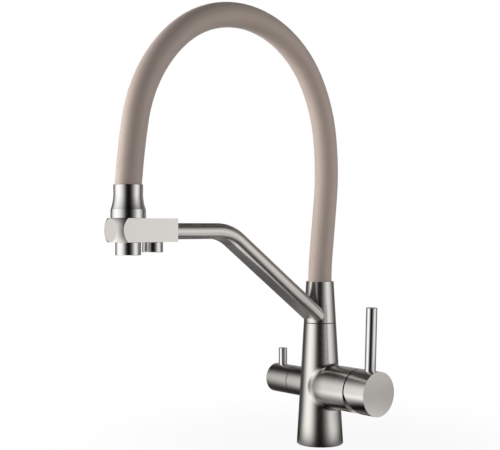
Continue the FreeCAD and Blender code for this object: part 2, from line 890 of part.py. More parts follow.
def build_filter_bonnet():
    """Brass headwork body: skirt round the discs, thread, flange and nose."""
    skirt_start = filter_chamber_floor + seat_seal_thickness
    thread_start = filter_face - bonnet_thread_length
    flange_end = filter_face + bonnet_flange_thickness
    nose_end = flange_end + bonnet_nose_length
    inside = bonnet_skirt_radius - bonnet_skirt_wall
    body = turned([
        (spindle_radius + running_fit, thread_start + spindle_collar_thickness + disc_gap),
        (inside, thread_start + spindle_collar_thickness + disc_gap),
        (inside, skirt_start),
        (bonnet_skirt_radius, skirt_start),
        (bonnet_skirt_radius, thread_start),
        (filter_chamber_radius - thread_fit, thread_start),
        (filter_chamber_radius - thread_fit, filter_face),
        (bonnet_flange_radius, filter_face),
        (bonnet_flange_radius, flange_end),
        (bonnet_nose_radius, flange_end),
        (bonnet_nose_radius, nose_end),
        (spindle_radius + running_fit, nose_end),
    ], valve_centre, LEFT)
    window_end = thread_start - bonnet_window_drop
    window = rod(filter_water_hole_radius, 0, bonnet_skirt_radius + 1,
                 FreeCAD.Vector(-(window_end - filter_water_hole_radius), 0, valve_height), UP)
    return body.cut(window)


def filter_disc_start():
    """Place along -X of the filter valve's fixed disc."""
    return filter_chamber_floor + seat_seal_thickness + filter_disc_lift


def filter_disc(start):
    """Ceramic disc with a round way beside its middle."""
    radius = bonnet_skirt_radius - bonnet_skirt_wall - running_fit
    disc = rod(radius, start, start + filter_disc_thickness, valve_centre, LEFT)
    way = rod(filter_water_hole_radius, start - 1, start + filter_disc_thickness + 1,
              valve_centre + FreeCAD.Vector(0, radius / 2, 0), LEFT)
    return disc.cut(way)


def build_filter_fixed_disc():
    """Lower ceramic disc of the headwork."""
    return filter_disc(filter_disc_start())


def turning_disc_start():
    """Place along -X of the filter valve's turning disc."""
    return filter_disc_start() + filter_disc_thickness + disc_gap


def build_filter_turning_disc():
    """Upper ceramic disc; its way stands a quarter turn from the fixed one while shut."""
    disc = filter_disc(turning_disc_start())
    disc.rotate(valve_centre, LEFT, 90)
    slot = dog_slot(running_fit)
    return disc.cut(slot)


def dog_slot(clearance):
    """Bar that couples the spindle with the turning disc."""
    end = turning_disc_start() + filter_disc_thickness
    half = spindle_radius / 2 + clearance
    return Part.makeBox(spindle_dog_thickness / 2, 2 * spindle_radius + 2 * clearance, 2 * half,
                        FreeCAD.Vector(-end, -spindle_radius - clearance, valve_height - half))


def build_filter_seat_seal():
    """Rubber seat between the headwork and the floor of its chamber."""
    return ring(crossing_radius + free_gap, bonnet_skirt_radius - free_gap,
                filter_chamber_floor, filter_chamber_floor + seat_seal_thickness, valve_centre, LEFT)


def build_filter_spindle():
    """Brass spindle with its dog, collar and the tip that carries the knob."""
    disc_end = turning_disc_start() + filter_disc_thickness
    collar_start = disc_end + disc_gap
    collar_end = filter_face - bonnet_thread_length + spindle_collar_thickness
    nose_end = filter_face + bonnet_flange_thickness + bonnet_nose_length
    collar_radius = bonnet_skirt_radius - bonnet_skirt_wall - running_fit
    shaft = turned([
        (0, collar_start),
        (collar_radius, collar_start),
        (collar_radius, collar_end),
        (spindle_radius, collar_end),
        (spindle_radius, nose_end),
        (spindle_tip_radius, nose_end),
        (spindle_tip_radius, spindle_reach),
        (0, spindle_reach),
    ], valve_centre, LEFT)
    link = rod(spindle_radius / 2, disc_end - spindle_dog_thickness / 2, collar_start + 0.5, valve_centre, LEFT)
    return joined([shaft, link, dog_slot(0.0)])


def filter_grub_x():
    """Distance along -X of the filter knob's grub screw."""
    return (filter_knob_start + filter_cavity_depth + spindle_reach) / 2


def build_filter_knob():
    """Small round knob over the headwork."""
    edge = filter_knob_edge
    knob = turned([
        (0, filter_knob_start),
        (filter_radius, filter_knob_start),
        (filter_radius, filter_knob_end - edge),
        (filter_radius - edge, filter_knob_end),
        (0, filter_knob_end),
    ], valve_centre, LEFT)
    cavity = rod(filter_cavity_radius, filter_knob_start - 1, filter_knob_start + filter_cavity_depth,
                 valve_centre, LEFT)
    socket = rod(spindle_tip_radius + thread_fit, filter_knob_start, spindle_reach + free_gap,
                 valve_centre, LEFT)
    shank_hole = rod(filter_shank_radius + thread_fit, filter_radius - filter_shank_length,
                     filter_radius + 1, filter_lever_point(), UP)
    grub_hole = rod(grub_radius + thread_fit, -filter_radius - 1, 0,
                    FreeCAD.Vector(-filter_grub_x(), 0, valve_height))
    return knob.cut(cavity).cut(socket).cut(shank_hole).cut(grub_hole)


def filter_lever_point():
    """Point on the valve's axis under the filter lever."""
    return FreeCAD.Vector(-filter_lever_place, 0, valve_height)


def build_filter_lever():
    """Short pin of the filter valve, its foot shaped to the round knob."""
    foot = math.sqrt(filter_radius ** 2 - filter_lever_radius ** 2) - lever_foot_overlap
    top = filter_radius + filter_lever_length
    edge = filter_lever_edge
    pin = turned([
        (0, foot),
        (filter_lever_radius, foot),
        (filter_lever_radius, top - edge),
        (filter_lever_radius - edge, top),
        (0, top),
    ], filter_lever_point(), UP)
    pin = pin.cut(rod(filter_radius + thread_fit, filter_knob_start, filter_knob_end + 5, valve_centre, LEFT))
    shank = rod(filter_shank_radius, filter_radius - filter_shank_length + free_gap, filter_radius + 1,
                filter_lever_point(), UP)
    return pin.fuse(shank)


def build_filter_grub_screw():
    """Screw that clamps the filter knob on its spindle."""
    top = valve_height - spindle_tip_radius - disc_gap
    return grub_screw(top, FreeCAD.Vector(-filter_grub_x(), 0, 0))


def cone_envelope():
    """Outside of the spout's turning cone, in line with the column's taper."""
    return turned([
        (0, slip_ring_top),
        (column_radius(slip_ring_top), slip_ring_top),
        (column_radius(rim_height), rim_height),
        (0, rim_height),
    ])


def arm_axis_rod(radius, start, end):
    """Round bar along the arm's rising axis, from distances out from the column's axis."""
    cosine = math.cos(math.radians(arm_rise_angle))
    direction = heading(arm_heading)
    return Part.makeCylinder(radius, (end - start) / cosine, arm_foot + direction * (start / cosine), direction)


def build_swivel_cone():
    """Turning upper cone: bore for the post, thread for the hose and the opening at its rim."""
    bore_top = post_top + fitting_clearance
    screw_line = FreeCAD.Vector(0, 0, retaining_groove_height)
    cuts = [
        rod(post_radius + running_fit, slip_ring_top - 1, bore_top),
        rod(fitting_thread_radius + thread_fit, bore_top - 1, hose_seat_height - fitting_flange_thickness + 1),
        rod(fitting_flange_radius + free_gap, hose_seat_height - fitting_flange_thickness, hose_seat_height),
        rod(hose_radius + free_gap, hose_seat_height, rim_height + 1),
        rod(retaining_screw_radius + thread_fit, post_radius, base_radius, screw_line, BACK),
        arm_axis_rod(water_tube_radius + running_fit, water_tube_start, base_radius),
        arm_axis_rod(water_tube_radius - water_tube_wall, post_radius - 2, base_radius),
    ]
    return cone_envelope().cut(cuts[0].multiFuse(cuts[1:]))


def build_retaining_screw():
    """Grub screw at the back that keeps the spout on its post."""
    line = FreeCAD.Vector(0, 0, retaining_groove_height)
    shoulder = post_radius + free_gap
    outside = column_radius(retaining_groove_height) - retaining_screw_inset
    tip = post_radius - retaining_groove_depth + free_gap
    screw = turned([
        (0, tip),
        (retaining_tip_radius, tip),
        (retaining_tip_radius, shoulder),
        (retaining_screw_radius, shoulder),
        (retaining_screw_radius, outside),
        (0, outside),
    ], line, BACK)
    return screw.cut(rod(grub_hex, outside - retaining_hex_depth, outside + 1, line, BACK))


def arm_outside(margin):
    """The arm's oval, drawn in by a margin, from the column's axis to its seat in the block."""
    level_run = block_tail_place + arm_seat_depth - arm_corner - arm_tangent
    path = lay_path(arm_foot, arm_heading, [arm_incline, (arm_bend_radius, 90.0), level_run])
    low = slip_ring_top + arm_seam_gap + margin
    below = Part.makeBox(4 * base_radius, 4 * base_radius, low,
                         FreeCAD.Vector(-2 * base_radius, -2 * base_radius, 0))
    return swept(path, oval_section(arm_half_width - margin, arm_half_height - margin)).cut(below)


def build_arm_tube():
    """Hollow oval arm, cut to sit on the turning cone and seated in the outlet block."""
    return arm_outside(0.0).cut(arm_outside(arm_wall)).cut(cone_envelope())


def water_tube_path():
    """Path of the filtered water's own tube inside the arm."""
    start = arm_foot + heading(arm_heading) * (water_tube_start / math.cos(math.radians(arm_rise_angle)))
    first_run = arm_incline - water_tube_start / math.cos(math.radians(arm_rise_angle))
    level_run = block_tail_place + arm_seat_depth + water_tube_entry - arm_corner - arm_tangent
    return lay_path(start, arm_heading, [first_run, (arm_bend_radius, 90.0), level_run])


def build_filtered_water_tube():
    """Plastic tube that keeps the filtered water apart from the arm's metal."""
    outer = swept(water_tube_path(), round_section(water_tube_radius))
    inner = swept(water_tube_path(), round_section(water_tube_radius - water_tube_wall))
    return outer.cut(inner)


def build_outlet_block():
    """Square block with a ball-cut nose, bores for both waters and the arm's oval seat."""
    half = block_width / 2
    tail = Part.makeBox(block_width, block_tail, block_height,
                        FreeCAD.Vector(-half, -reach, block_bottom))
    nose = Part.makeBox(block_width, block_nose_flat, block_height,
                        FreeCAD.Vector(-half, -reach - block_nose_flat, block_bottom))
    ball = Part.makeSphere(block_nose_radius, FreeCAD.Vector(0, -reach, outlet_height))
    block = joined([tail, nose.common(ball)])
    seat_start = FreeCAD.Vector(0, -block_tail_place + 1, outlet_height)
    seat = oval_section(arm_half_width + thread_fit, arm_half_height + thread_fit)(seat_start, 90.0)
    channel = FreeCAD.Vector(0, 0, outlet_height)
    outward = heading(90.0)
    seat_end = block_tail_place + arm_seat_depth
    cuts = [
        seat.extrude(outward * (arm_seat_depth + 1)),
        rod(water_tube_radius + running_fit, seat_end - 1, seat_end + water_tube_entry, channel, outward),
        rod(filtered_channel_radius, seat_end, filtered_place, channel, outward),
        rod(filtered_channel_radius, block_bottom, outlet_height, filtered_axis),
        rod(filtered_shank_radius + thread_fit, block_bottom - 1,
            block_bottom + filtered_shank_length + aerator_seal_thickness, filtered_axis),
        rod(block_bore_radius, block_bottom, block_top, outlet_axis),
        rod(aerator_shank_radius + thread_fit, block_bottom - 1,
            block_bottom + aerator_shank_length + aerator_seal_thickness, outlet_axis),
        rod(fitting_thread_radius + thread_fit, block_top - fitting_thread_length, block_top + 1, outlet_axis),
    ]
    return block.cut(cuts[0].multiFuse(cuts[1:]))


def fitting(seat, axis, axis_point):
    """Brass hose fitting: thread, flange that the hose stands on and a ribbed barb."""
    outline = [
        (fitting_bore_radius, seat - fitting_thread_length - fitting_flange_thickness),
        (fitting_thread_radius, seat - fitting_thread_length - fitting_flange_thickness),
        (fitting_thread_radius, seat - fitting_flange_thickness),
        (fitting_flange_radius, seat - fitting_flange_thickness),
        (fitting_flange_radius, seat),
        (barb_radius, seat),
    ]
    step = (barb_length - barb_root) / barb_count
    for rib in range(barb_count):
        start = seat + barb_root + rib * step
        outline.append((barb_radius, start))
        outline.append((barb_radius - barb_depth, start + step))
    outline.append((fitting_bore_radius, seat + barb_length))
    return turned(outline, axis_point, axis)


def build_hose_root_fitting():
    """Fitting screwed into the turning cone."""
    return fitting(hose_seat_height, UP, ORIGIN)


def build_hose_end_fitting():
    """Fitting screwed into the outlet block, standing up into the hose's end."""
    return fitting(block_top + fitting_flange_thickness, UP, outlet_axis)


def hose_layer(outer, inner):
    """One layer of the hose along the whole arch."""
    return swept(hose_path, round_section(outer)).cut(swept(hose_path, round_section(inner)))


def build_spout_hose():
    """Silicone sleeve that is seen as the arch."""
    return hose_layer(hose_radius, hose_sleeve_bore)


def build_hose_core():
    """Flexible steel core that holds the arch's shape, as a plain tube."""
    return hose_layer(hose_sleeve_bore - running_fit, hose_core_bore)


def build_inner_hose():
    """Inner hose that carries the mixed water."""
    return hose_layer(inner_hose_radius, inner_hose_bore)


def build_hose_collar():
    """Bell over the hose's end, flaring down to the block."""
    foot = block_top
    flange_top = foot + collar_flange_height
    flare_top = foot + collar_flare_top
    top = foot + collar_height
    bow = ((collar_foot_radius + collar_top_radius) / 2 - collar_bow, (flange_top + flare_top) / 2)
    inside_top = hose_radius + free_gap
    inside_foot = collar_foot_radius - collar_wall
    return turned([
        (inside_foot, foot),
        (collar_foot_radius - collar_edge, foot),
        (collar_foot_radius, foot + collar_edge),
        (collar_foot_radius, flange_top),
        (bow, (collar_top_radius - collar_waist, flare_top)),
        (collar_top_radius, top - collar_edge),
        (collar_top_radius - collar_edge, top),
        (inside_top, top),
        (inside_top, flare_top - collar_seat_drop),
        (inside_foot, flange_top),
    ], outlet_axis)


def aerator_shell(radius, drop, shank, shank_length, wall, axis_point):
    """Turned ring with a threaded shank in the block and a rounded lip below."""
    bottom = block_bottom - drop
    return turned([
        (radius - wall, bottom),
        (radius - aerator_edge, bottom),
        (radius, bottom + aerator_edge),
        (radius, block_bottom),
        (shank, block_bottom),
        (shank, block_bottom + shank_length),
        (shank - wall, block_bottom + shank_length),
        (shank - wall, block_bottom - wall),
        (radius - wall, block_bottom - wall),
    ], axis_point)


def aerator_core(radius, length, bottom, axis_point, rows):
    """Plastic insert: a cup whose lower plate is a honeycomb of six-sided cells."""
    cup = turned([
        (0, bottom),
        (radius, bottom),
        (radius, bottom + length),
        (radius - insert_wall, bottom + length),
        (radius - insert_wall, bottom + grid_plate),
        (0, bottom + grid_plate),
    ], axis_point)
    cells = []
    for row in range(-rows, rows + 1):
        for column in range(-rows, rows + 1):
            if abs(row + column) > rows:
                continue
            x = grid_pitch * (column + row / 2)
            y = grid_pitch * row * math.sqrt(3) / 2
            corners = []
            for corner in range(7):
                angle = math.radians(60 * corner + 30)
                corners.append(axis_point + FreeCAD.Vector(x + grid_cell * math.cos(angle),
                                                           y + grid_cell * math.sin(angle), bottom - 1))
            cell = Part.Face(Part.Wire(Part.makePolygon(corners)))
            cells.append(cell.extrude(UP * (grid_plate + 2)))
    return cup.cut(Part.Compound(cells))


def build_aerator_housing():
    """Polished ring of the main outlet."""
    return aerator_shell(aerator_radius, aerator_drop, aerator_shank_radius, aerator_shank_length,
                         aerator_wall, outlet_axis)


def build_aerator_insert():
    """Honeycomb insert of the main outlet."""
    radius = aerator_shank_radius - aerator_wall - thread_fit
    return aerator_core(radius, aerator_insert_length, block_bottom - aerator_drop + insert_recess, outlet_axis, 2)


def build_aerator_seal():
    """Flat rubber ring above the main aerator."""
    start = block_bottom + aerator_shank_length
    return ring(block_bore_radius, aerator_shank_radius - running_fit, start,
                start + aerator_seal_thickness, outlet_axis)


def build_filtered_aerator_housing():
    """Polished ring of the filtered outlet."""
    return aerator_shell(filtered_aerator_radius, filtered_aerator_drop, filtered_shank_radius,
                         filtered_shank_length, filtered_wall, filtered_axis)


def build_filtered_aerator_insert():
    """Honeycomb insert of the filtered outlet."""
    radius = filtered_shank_radius - filtered_wall - thread_fit
    bottom = block_bottom - filtered_aerator_drop + filtered_insert_recess
    return aerator_core(radius, filtered_insert_length, bottom, filtered_axis, 1)


def build_filtered_aerator_seal():
    """Flat rubber ring above the filtered aerator."""
    start = block_bottom + filtered_shank_length
    return ring(filtered_channel_radius + free_gap, filtered_shank_radius - running_fit, start,
                start + aerator_seal_thickness, filtered_axis)


PIECES = {
    "body_shell": build_body_shell,
    "base_gasket": build_base_gasket,
    "slip_ring": build_slip_ring,
    "swivel_post": build_swivel_post,
    "post_o_rings": build_post_o_rings,
    "cartridge_housing": build_cartridge_housing,
    "cartridge_base": build_cartridge_base,
    "cartridge_base_seals": build_cartridge_base_seals,
    "cartridge_fixed_disc": build_cartridge_fixed_disc,
    "cartridge_nut": build_cartridge_nut,
    "cartridge_dome": build_cartridge_dome,
    "mixer_carrier": build_mixer_carrier,
    "stem_pivot_pin": build_stem_pivot_pin,
    "cartridge_moving_disc": build_cartridge_moving_disc,
    "cartridge_disc_driver": build_cartridge_disc_driver,
    "mixer_stem": build_mixer_stem,
    "mixer_knob": build_mixer_knob,
    "mixer_lever": build_mixer_lever,
    "mixer_grub_screw": build_mixer_grub_screw,
    "filter_bonnet": build_filter_bonnet,
    "filter_seat_seal": build_filter_seat_seal,
    "filter_fixed_disc": build_filter_fixed_disc,
    "filter_turning_disc": build_filter_turning_disc,
    "filter_spindle": build_filter_spindle,
    "filter_knob": build_filter_knob,
    "filter_lever": build_filter_lever,
    "filter_grub_screw": build_filter_grub_screw,
    "swivel_cone": build_swivel_cone,
    "retaining_screw": build_retaining_screw,
    "arm_tube": build_arm_tube,
    "filtered_water_tube": build_filtered_water_tube,
    "outlet_block": build_outlet_block,
    "hose_root_fitting": build_hose_root_fitting,
    "spout_hose": build_spout_hose,
    "hose_core": build_hose_core,
    "inner_hose": build_inner_hose,
    "hose_end_fitting": build_hose_end_fitting,
    "hose_collar": build_hose_collar,
    "aerator_housing": build_aerator_housing,
    "aerator_insert": build_aerator_insert,
    "aerator_seal": build_aerator_seal,
    "filtered_aerator_housing": build_filtered_aerator_housing,
    "filtered_aerator_insert": build_filtered_aerator_insert,
    "filtered_aerator_seal": build_filtered_aerator_seal,
}


def main():
    """Builds every piece and writes it to its own file."""
    os.makedirs("parts", exist_ok=True)
    for name, build in PIECES.items():
        shape = build()
        shape.exportStep(os.path.join("parts", name + ".step"))
        print(f"{name}: {len(shape.Solids)} solids, {shape.Volume:.1f} mm3, valid {shape.isValid()}")
    print(f"arch scale {arch_scale:.4f}, leaning leg {leaning_leg:.1f}, hose length {path_length(hose_path):.1f}")


main()
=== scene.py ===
import functools
import json
import math

import bpy
from bpy.props import FloatProperty, IntProperty, PointerProperty, StringProperty
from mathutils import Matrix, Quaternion, Vector


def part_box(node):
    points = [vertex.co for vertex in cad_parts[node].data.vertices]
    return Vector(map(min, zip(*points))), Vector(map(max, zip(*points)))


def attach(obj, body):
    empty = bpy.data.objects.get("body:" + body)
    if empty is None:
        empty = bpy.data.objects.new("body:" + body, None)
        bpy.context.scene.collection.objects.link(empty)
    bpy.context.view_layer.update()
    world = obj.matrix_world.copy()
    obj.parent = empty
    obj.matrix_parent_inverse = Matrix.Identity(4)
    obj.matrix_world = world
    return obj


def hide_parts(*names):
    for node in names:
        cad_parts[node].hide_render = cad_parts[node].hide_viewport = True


bl_info = {
    "name": "Kitchen Mixer Tap",
    "version": (1, 0, 0),
    "blender": (4, 5, 0),
    "location": "View3D > Sidebar > Mixer Tap",
    "description": "Dresses a mixer tap for mixed and filtered water over its fixed frame",
    "category": "Object",
}

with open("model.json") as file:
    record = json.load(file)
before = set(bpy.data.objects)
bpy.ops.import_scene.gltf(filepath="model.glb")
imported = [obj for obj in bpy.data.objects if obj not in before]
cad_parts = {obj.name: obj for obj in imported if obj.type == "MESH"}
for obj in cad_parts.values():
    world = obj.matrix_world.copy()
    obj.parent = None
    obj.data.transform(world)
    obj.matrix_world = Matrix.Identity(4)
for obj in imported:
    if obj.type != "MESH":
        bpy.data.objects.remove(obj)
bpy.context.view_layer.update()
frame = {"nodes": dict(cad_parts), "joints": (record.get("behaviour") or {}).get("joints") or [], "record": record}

UP = Vector((0, 0, 1))
BACK = Vector((0, 1, 0))
RIGHT = Vector((1, 0, 0))
LEFT = Vector((-1, 0, 0))

# Small sizes in metres, which fit the pieces to the ones that they meet
FILTER_GAP = 0.0009  # seam between the filtered valve's housing and its knob
STUD_DEPTH = 0.014
GASKET_GAP = 0.0003
GASKET_WIDTH = 0.0028
POST_BORE = 0.01055  # radius of the cone's bore, which turns on the post
SCREW_START = 0.0005  # the cone's screw hole starts this far out from that bore
ARM_START = 0.002  # first ring of the arm, from the column's axis
HOSE_GAP = 0.0003  # round the hose, and under its end
FITTING_FLANGE = 0.0025  # what the hose's end stands on, over the outlet block
COLLAR_TOP = 0.0137  # outside radius
COLLAR_WALL = 0.0015
COLLAR_BOW = 0.00055  # how hollow the flare is
COLLAR_STEP = 0.004  # the collar widens inside from this far under its waist
AERATOR_WALL = 0.0016
FILTERED_AERATOR_WALL = 0.0014
GRUB_DEPTH = 0.004  # bore past the grub screw's outer end
PIN_SINK = 0.002  # how far a lever goes into its knob
CASTING_EDGE = 0.00015  # hair-thin rounding where the plate runs over an edge
CONE_EDGE = 0.0002
TOOL_MARGIN = 0.001  # how far a cutting tool stands past what it cuts
MERGE = 0.00001  # points closer than this are one
HOLLOW_STEP = 0.00001  # step for the slope of the soft hollow
HOLLOW_ROUNDS = 4  # moves that bring a point onto it

# How finely round and bent shapes are divided
COLUMN_RINGS = 120
MIXER_RINGS = 56
FILTER_RINGS = 36
CONE_RINGS = 10
KNOB_RINGS = 6
LEVER_RINGS = 8
FLARE_STEPS = 14
LEG_RUNS = 8
END_RUNS = 4
HOSE_SIDES = 72
SMALL_SIDES = 96  # levers and the gasket's groove
STAGE_SIDES = 96
TOOL_SIDES = 48
NOSE_SIDES = 160
EDGE_STEPS = 3
ARM_TURN = math.radians(2)
HOSE_TURN = math.radians(1.5)

# Real sizes in metres of what the finishes draw
CLOUD_SIZE = 0.03
BRUSH_LINE = 0.0008
BRUSH_RUN = 0.03

# The studio: metres, and strengths where 1 is white
CAMERA_PLACE = (0.7771, -0.7504, 0.2346)
CAMERA_TURN = 50  # degrees that the camera is turned from looking straight back, along +y
CAMERA_SIDE = CAMERA_TURN - 90  # so it stands on this side, in degrees from +x
FLOOR_RADIUS = 6.0
AMBIENT_LEVEL = 0.68
LAMP_AIM = Vector((0, -0.08, 0.22))
GREY_CARD = (0.37, 0.24, 0.0)
RING_RADIUS = 0.8
RING_HEIGHT = 1.6
RING_STRENGTH = 1.3
# Degrees round from the camera, positive to its right, and how bright the ring is there
RING_LIGHT = [(-140, 0.05), (-122, 0.02), (-104, 0.3), (-84, 0.95), (-66, 1.05), (-48, 0.8), (-36, 0.4),
              (-24, 0.05), (-14, 0.003), (4, 0.003), (16, 0.05), (34, 0.3), (52, 0.8), (72, 0.8), (92, 0.38),
              (116, 0.04), (140, 0.06), (164, 0.3), (184, 0.3), (202, 0.08), (219, 0.05)]


@functools.cache
def corners(node):
    """Lowest and highest corner of a node of the frame, which never moves while the tap is dressed."""
    return [tuple(corner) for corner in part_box(node)]


def low(node):
    """Lowest corner of a node of the frame."""
    return Vector(corners(node)[0])


def high(node):
    """Highest corner of a node of the frame."""
    return Vector(corners(node)[1])


def joint(name):
    """A joint of the frame by its name."""
    return next(entry for entry in frame["joints"] if entry["name"] == name)


def length(name, description, default):
    """A size in metres that a user may change."""
    return FloatProperty(name=name, description=description, default=default,
                         unit="LENGTH", subtype="DISTANCE", precision=4)


def angle(name, description, degrees):
    """An angle that a user may change."""
    return FloatProperty(name=name, description=description, default=math.radians(degrees),
                         unit="ROTATION", subtype="ANGLE")


def finish_value(name, description, default):
    """A value between 0 and 1 of a finish, such as its roughness."""
    return FloatProperty(name=name, description=description, default=default,
                         min=0, max=1, subtype="FACTOR")


def colour(name, description, default):
    """A colour as an sRGB hex value."""
    return StringProperty(name=name, description=description, default=default)


class TapSizes(bpy.types.PropertyGroup):
    """Sizes of the tap's visible pieces; what the frame holds comes from the frame."""
    segments: IntProperty(name="Segments", description="Sides of a round piece", default=128, min=24)
    base_radius: length("Base radius", "Column at the worktop", high("body_shell").y)
    rim_radius: length("Rim radius", "Turning cone where the hose comes out", 0.0148)
    base_edge: length("Base edge", "Bevel round the foot of the column", 0.0008)
    mixer_root_radius: length("Mixer root radius", "Mixer housing on the column's axis", 0.0194)
    mixer_root_length: length("Mixer root length", "Where the mixer housing gets its full radius", 0.026)
    mixer_face: length("Mixer face", "Face of the mixer housing, from the column's axis", 0.0565)
    mixer_gap: length("Mixer gap", "Between that face and the knob", 0.0018)
    cut_angle: angle("Knob cut", "Slope of the back of the mixer knob's lower half", 23.0)
    cavity_radius: length("Mixer knob cavity", "Hollow over the cartridge's dome", 0.0202)
    cavity_floor: length("Mixer knob floor", "Where that hollow ends, from the column's axis", 0.067)
    hollow: length("Housing hollow", "Soft hollow between the column and the mixer housing", 0.0038)
    hollow_start: length("Hollow start", "Where along the valves' axis that hollow is full", 0.009)
    nut_thread_radius: length("Cartridge thread", "Bore in the face of the mixer housing", 0.019)
    filter_cavity_radius: length("Filter knob cavity", "Hollow over the headwork", 0.0123)
    filter_cavity_depth: length("Filter knob cavity depth", "Depth of that hollow", 0.009)
    lever_lean: angle("Lever lean", "Lean of the mixer lever away from the column", 2.0)
    arm_foot_height: length("Arm foot", "Where the arm's middle line meets the column's axis", 0.1318)
    arm_half_width: length("Arm half width", "Half the arm's flat oval, across", high("arm_tube").x)
    arm_half_height: length("Arm half height", "Half the arm's oval, and radius of its round sides", 0.0077)
    arm_rise: angle("Arm rise", "Slope of the arm above level", 36.4)
    arm_bend_radius: length("Arm bend", "Radius of the arm's one bend", 0.046)
    arm_drop: length("Arm drop", "How far under the middle of the outlet block the arm runs in", 0.0011)
    arm_seam_gap: length("Arm seam gap", "Between the turning seam and the arm's foot", 0.0012)
    nose_radius: length("Nose radius", "Ball that the outlet block's nose is cut to", 0.022)
    collar_waist: length("Collar waist", "Radius of the bell collar over its flare", 0.01355)
    collar_flange: length("Collar flange", "Height of the collar's straight foot", 0.0075)
    collar_flare: length("Collar flare", "Height where the flare ends", 0.021)
    hose_radius: length("Hose radius", "Silicone sleeve", 0.0125)
    hose_bore: length("Hose bore", "Inside of the silicone sleeve", 0.0088)
    hose_foot: length("Hose foot", "Straight start of the hose", 0.008)
    hose_end: length("Hose end", "Straight end of the hose in the collar", 0.024)
    lean_radius: length("Lean radius", "Bend that leans the hose back", 0.230)
    lean_angle: angle("Lean angle", "How far the hose leans back", 6.3)
    back_radius: length("Back radius", "Arch, first bend up", 0.2886)
    shoulder_radius: length("Shoulder radius", "Arch, second bend", 0.1573)
    crown_radius: length("Crown radius", "Arch, over the top", 0.1165)
    fall_radius: length("Fall radius", "Arch, down the front", 0.1443)
    drop_radius: length("Drop radius", "Arch, nearly straight", 0.630)
    neck_radius: length("Neck radius", "Arch, last bend into the collar", 0.100)
    back_heading: angle("Back heading", "Slope where the first bend ends", 7.5)
    shoulder_heading: angle("Shoulder heading", "Slope where the second bend ends", 29.7)
    crown_heading: angle("Crown heading", "Slope where the crown ends", 129.7)
    fall_heading: angle("Fall heading", "Slope where the front bend ends", 170.0)
    drop_heading: angle("Drop heading", "Slope where the straight stretch ends", 175.2)
    polished_edge: length("Polished edge", "Rounding of a polished edge", 0.0004)
    turned_edge: length("Turned edge", "Rounding of a turned edge", 0.0006)


class TapFinishes(bpy.types.PropertyGroup):
    """Colours and finishes of the tap."""
    nickel: colour("Brushed nickel", "Satin nickel plate on brass", "#DEDAD5")
    chrome: colour("Polished chrome", "Bright plate on the pins and outlets", "#C3C1BE")
    silicone: colour("Silicone", "Taupe silicone sleeve", "#A5968D")
    brass: colour("Brass", "Machined brass inside", "#D9B978")
    steel: colour("Steel", "Plain stainless steel", "#B9B8B5")
    rubber: colour("Rubber", "Black seals", "#1B1B1B")
    white_plastic: colour("White plastic", "Cartridge and water tube", "#E4E3DE")
    dark_plastic: colour("Dark plastic", "Slip ring, inner hose and outlet grids", "#2B2A29")
    ceramic: colour("Ceramic", "Valve discs", "#EDECE6")
    nickel_roughness: finish_value("Nickel roughness", "How satin the nickel is", 0.215)
    chrome_roughness: finish_value("Chrome roughness", "How bright the chrome is", 0.1)
    silicone_roughness: finish_value("Silicone roughness", "How matt the sleeve is", 0.5)


# Shaping by hand in edit mode

def begin(add, name, stretch=(1, 1, 1), **size):
    """Adds a primitive by itself, stretched on its own axes, and puts its place into its mesh."""
    bpy.ops.object.select_all(action="DESELECT")
    add(**size)
    piece = bpy.context.object
    piece.name = name
    piece.data.name = name
    piece.scale = stretch
    bpy.ops.object.transform_apply(location=True, rotation=True, scale=True)
    return piece


def across(axis):
    """Rotation that stands a circle's or cylinder's own axis along another."""
    return axis.to_track_quat("Z", "Y").to_euler()


def edit_all():
    """Opens the piece in hand in edit mode with everything selected."""
    bpy.ops.object.mode_set(mode="EDIT")
    bpy.ops.mesh.select_all(action="SELECT")


def turned(name, outline, origin, axis, segments, closed=False):
    """Round piece from rings of radius and place along an axis; a closed one has a bore."""
    radius, place = outline[0]
    piece = begin(bpy.ops.mesh.primitive_circle_add, name, vertices=segments, radius=radius,
                  location=origin + axis * place, rotation=across(axis))
    edit_all()
    for next_radius, next_place in outline[1:]:
        bpy.ops.mesh.extrude_edges_move(TRANSFORM_OT_translate={"value": axis * (next_place - place)})
        grow = next_radius / radius
        bpy.ops.transform.resize(value=(grow, grow, grow), center_override=origin + axis * next_place)
        radius, place = next_radius, next_place
    if closed:
        bpy.ops.mesh.select_non_manifold()
        bpy.ops.mesh.bridge_edge_loops()
    else:
        bpy.ops.mesh.select_all(action="SELECT")
        bpy.ops.mesh.fill_holes(sides=0)
    outwards()
    return piece


def choose(piece, wanted):
    """Selects the points of a piece whose place passes a test, and stays in edit mode."""
    bpy.ops.object.mode_set(mode="EDIT")
    bpy.ops.mesh.select_all(action="DESELECT")
    bpy.ops.object.mode_set(mode="OBJECT")
    for point in piece.data.vertices:
        point.select = wanted(point.co)
    bpy.ops.object.mode_set(mode="EDIT")


def outwards():
    """Turns all faces of the piece in hand outwards and leaves edit mode."""
    bpy.ops.mesh.select_all(action="SELECT")
    bpy.ops.mesh.normals_make_consistent(inside=False)
    bpy.ops.object.mode_set(mode="OBJECT")


def bar(name, radius, start, end, origin, axis):
    """Plain round bar between two places along an axis."""
    return begin(bpy.ops.mesh.primitive_cylinder_add, name, vertices=TOOL_SIDES, radius=radius,
                 depth=end - start, location=origin + axis * (start + end) / 2, rotation=across(axis))


